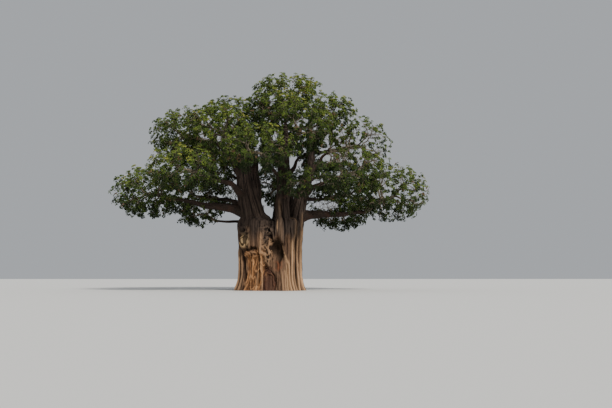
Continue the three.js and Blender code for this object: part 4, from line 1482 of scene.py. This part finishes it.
# %% The tint of each rosette
# How much lighter a rosette's tint is painted, as painted light, to the right of its mass, behind and
# on top
LIT_TOWARDS = np.array([0.16, -0.1, 0.5])
LIT_OUT = 0.3
MIDDLE_OUT = 0.6
CHANCE = 0.34
# Under the crown's middle the leaves take deeper tints as painted shade: how much, how far out, and up
# to which heights
DEEPER = 0.55
DEEPER_REACH = 8.5
DEEPER_HEIGHTS = (9.5, 17.5)
# Places on the plane through the trunk where the leaves take lighter tints: across, up, half sizes
LIGHTER_PLACES = [(-4.6, 12.3, 2.9, 2.0), (-9.4, 11.4, 2.8, 2.3), (2.4, 18.0, 3.0, 1.6)]
LIGHTER_BY = 0.3
TINT_STEPS = [-0.3, 0.05, 0.48, 0.9]  # between the five greens


def tints_of(name, places):
    """0, the deepest painted shade, to 4, the brightest painted highlight, by place and chance, and
    the dry tint for a few.
    """
    share = (places - centres[name]) / halves[name]
    x, y, z = places.T
    lit = share @ LIT_TOWARDS + LIT_OUT * (np.linalg.norm(share, axis=1) - MIDDLE_OUT)
    lit = lit + random.normal(0, CHANCE, len(places))
    under = np.exp(-((np.hypot(x, y) / DEEPER_REACH) ** 2))
    lit = lit - DEEPER * under * (1 - smoothstep(*DEEPER_HEIGHTS, z))
    for across, up, half_across, half_up in LIGHTER_PLACES:
        squares = ((x - across) / half_across) ** 2 + ((z - up) / half_up) ** 2
        lit = lit + LIGHTER_BY * np.exp(-squares)
    tints = np.searchsorted(TINT_STEPS, lit)
    return np.where(random.random(len(places)) < DRY_SHARE, DRY, tints)


# %% The pieces of leaves
for group, names in GROUPS.items():
    places = np.concatenate([rosette_rows[name][0] for name in names])
    axes = np.concatenate([rosette_rows[name][1] for name in names])
    tints = np.concatenate([tints_of(name, rosette_rows[name][0]) for name in names])
    leaves = (places[:, None] + turned_patterns(axes)).reshape(-1, LEAFLETS * 4, 3)
    kept = ~in_gap(leaves.mean(axis=1))
    corners = leaves[kept].reshape(-1, 3)
    tints = np.repeat(np.repeat(tints, LEAVES)[kept], LEAFLETS)
    faces = np.arange(len(corners)).reshape(-1, 4)
    mesh = new_mesh(group + "_leaves", corners, [faces], smooth=False)
    for material in leaf_materials:
        mesh.materials.append(material)
    mesh.polygons.foreach_set("material_index", tints.astype(np.int32))
    new_piece(mesh, [name + "_leaves" for name in names])
    print(mesh.name, triangles(mesh), "triangles")

# %% Twigs and spurs
TWIG_SIDES = 3
TWIG_SWAY = 0.05  # how far a twig's two inner points stray, as a share of its length
SECOND_SWAY = 0.7  # of the first one's, for the second
SPUR_RADII = [0.011, 0.007]
ON_TWIG = 0.01  # metres within which a rosette needs no spur


def twig_rings(name):
    """Tubes of four even points, of which the inner two stray by a normal draw of the length."""
    rows = segments_of[name]
    start = np.array([row[0] for row in rows])
    end = np.array([row[1] for row in rows])
    radii = np.array([row[2:4] for row in rows])
    length = np.linalg.norm(end - start, axis=1)[:, None, None]
    sway = random.normal(0, TWIG_SWAY, (len(rows), 2, 3)) * length
    share = np.array([0.0, 1 / 3, 2 / 3, 1.0])[None, :, None]
    points = start[:, None] + (end - start)[:, None] * share
    points[:, 1] += sway[:, 0]
    points[:, 2] += sway[:, 1] * SECOND_SWAY
    sizes = radii[:, :1] + (radii[:, 1:] - radii[:, :1]) * share[..., 0]
    return tubes(points, sizes, TWIG_SIDES)


def spur_rings(name):
    """Straight tubes from the twig to the heart of each rosette that stands off it."""
    places, _, feet = rosette_rows[name]
    off = np.linalg.norm(places - feet, axis=1) > ON_TWIG
    points = np.stack([feet[off], places[off]], axis=1)
    return tubes(points, np.tile(SPUR_RADII, (len(points), 1)), TWIG_SIDES)


for group, names in GROUPS.items():
    surfaces = [tube_faces(twig_rings(name)) for name in names]
    surfaces += [tube_faces(spur_rings(name)) for name in names]
    corners, face_sets = join_surfaces(surfaces)
    mesh = new_mesh(group + "_twigs", corners, face_sets)
    new_piece(mesh, [name + "_leaves" for name in names], twig_bark)
    print(mesh.name, triangles(mesh), "triangles")

# %% [markdown]
# ## Studio
# A plain pale floor runs to the horizon, and soft light comes from the upper right in front, with a
# pale sky all round to fill the shade.

# %% Floor and light
FLOOR_HALF = 400.0  # metres
FLOOR_COLOUR = (0.72, 0.72, 0.70)
SUN_STRENGTH = 4.4
SUN_COLOUR = (1.0, 0.96, 0.9)
SUN_SPREAD = 12  # degrees, which makes its shadows soft
SUN_HEIGHT = 55  # degrees from overhead
SUN_SIDE = 24  # degrees, to the right
SKY_COLOUR = (0.86, 0.90, 0.95, 1.0)
SKY_STRENGTH = 0.5

floor_corners = FLOOR_HALF * np.array([[-1, -1, 0], [1, -1, 0], [1, 1, 0], [-1, 1, 0]])
floor_mesh = new_mesh("floor", floor_corners, [np.array([[0, 1, 2, 3]])])
floor = bpy.data.objects.new("floor", floor_mesh)
bpy.context.scene.collection.objects.link(floor)
floor_mesh.materials.append(Shader("floor_pale").finish(FLOOR_COLOUR, 0.9))
floor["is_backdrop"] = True

sun_data = bpy.data.lights.new("key", "SUN")
sun_data.energy = SUN_STRENGTH
sun_data.angle = math.radians(SUN_SPREAD)
sun_data.color = SUN_COLOUR
sun = bpy.data.objects.new("key", sun_data)
sun.rotation_euler = (math.radians(SUN_HEIGHT), 0.0, math.radians(SUN_SIDE))
bpy.context.scene.collection.objects.link(sun)

world = bpy.data.worlds.new("sky")
bpy.context.scene.world = world
world.use_nodes = True
background = world.node_tree.nodes["Background"]
background.inputs["Color"].default_value = SKY_COLOUR
background.inputs["Strength"].default_value = SKY_STRENGTH
print("key light", SUN_STRENGTH)

# %% Update the scene
bpy.context.view_layer.update()
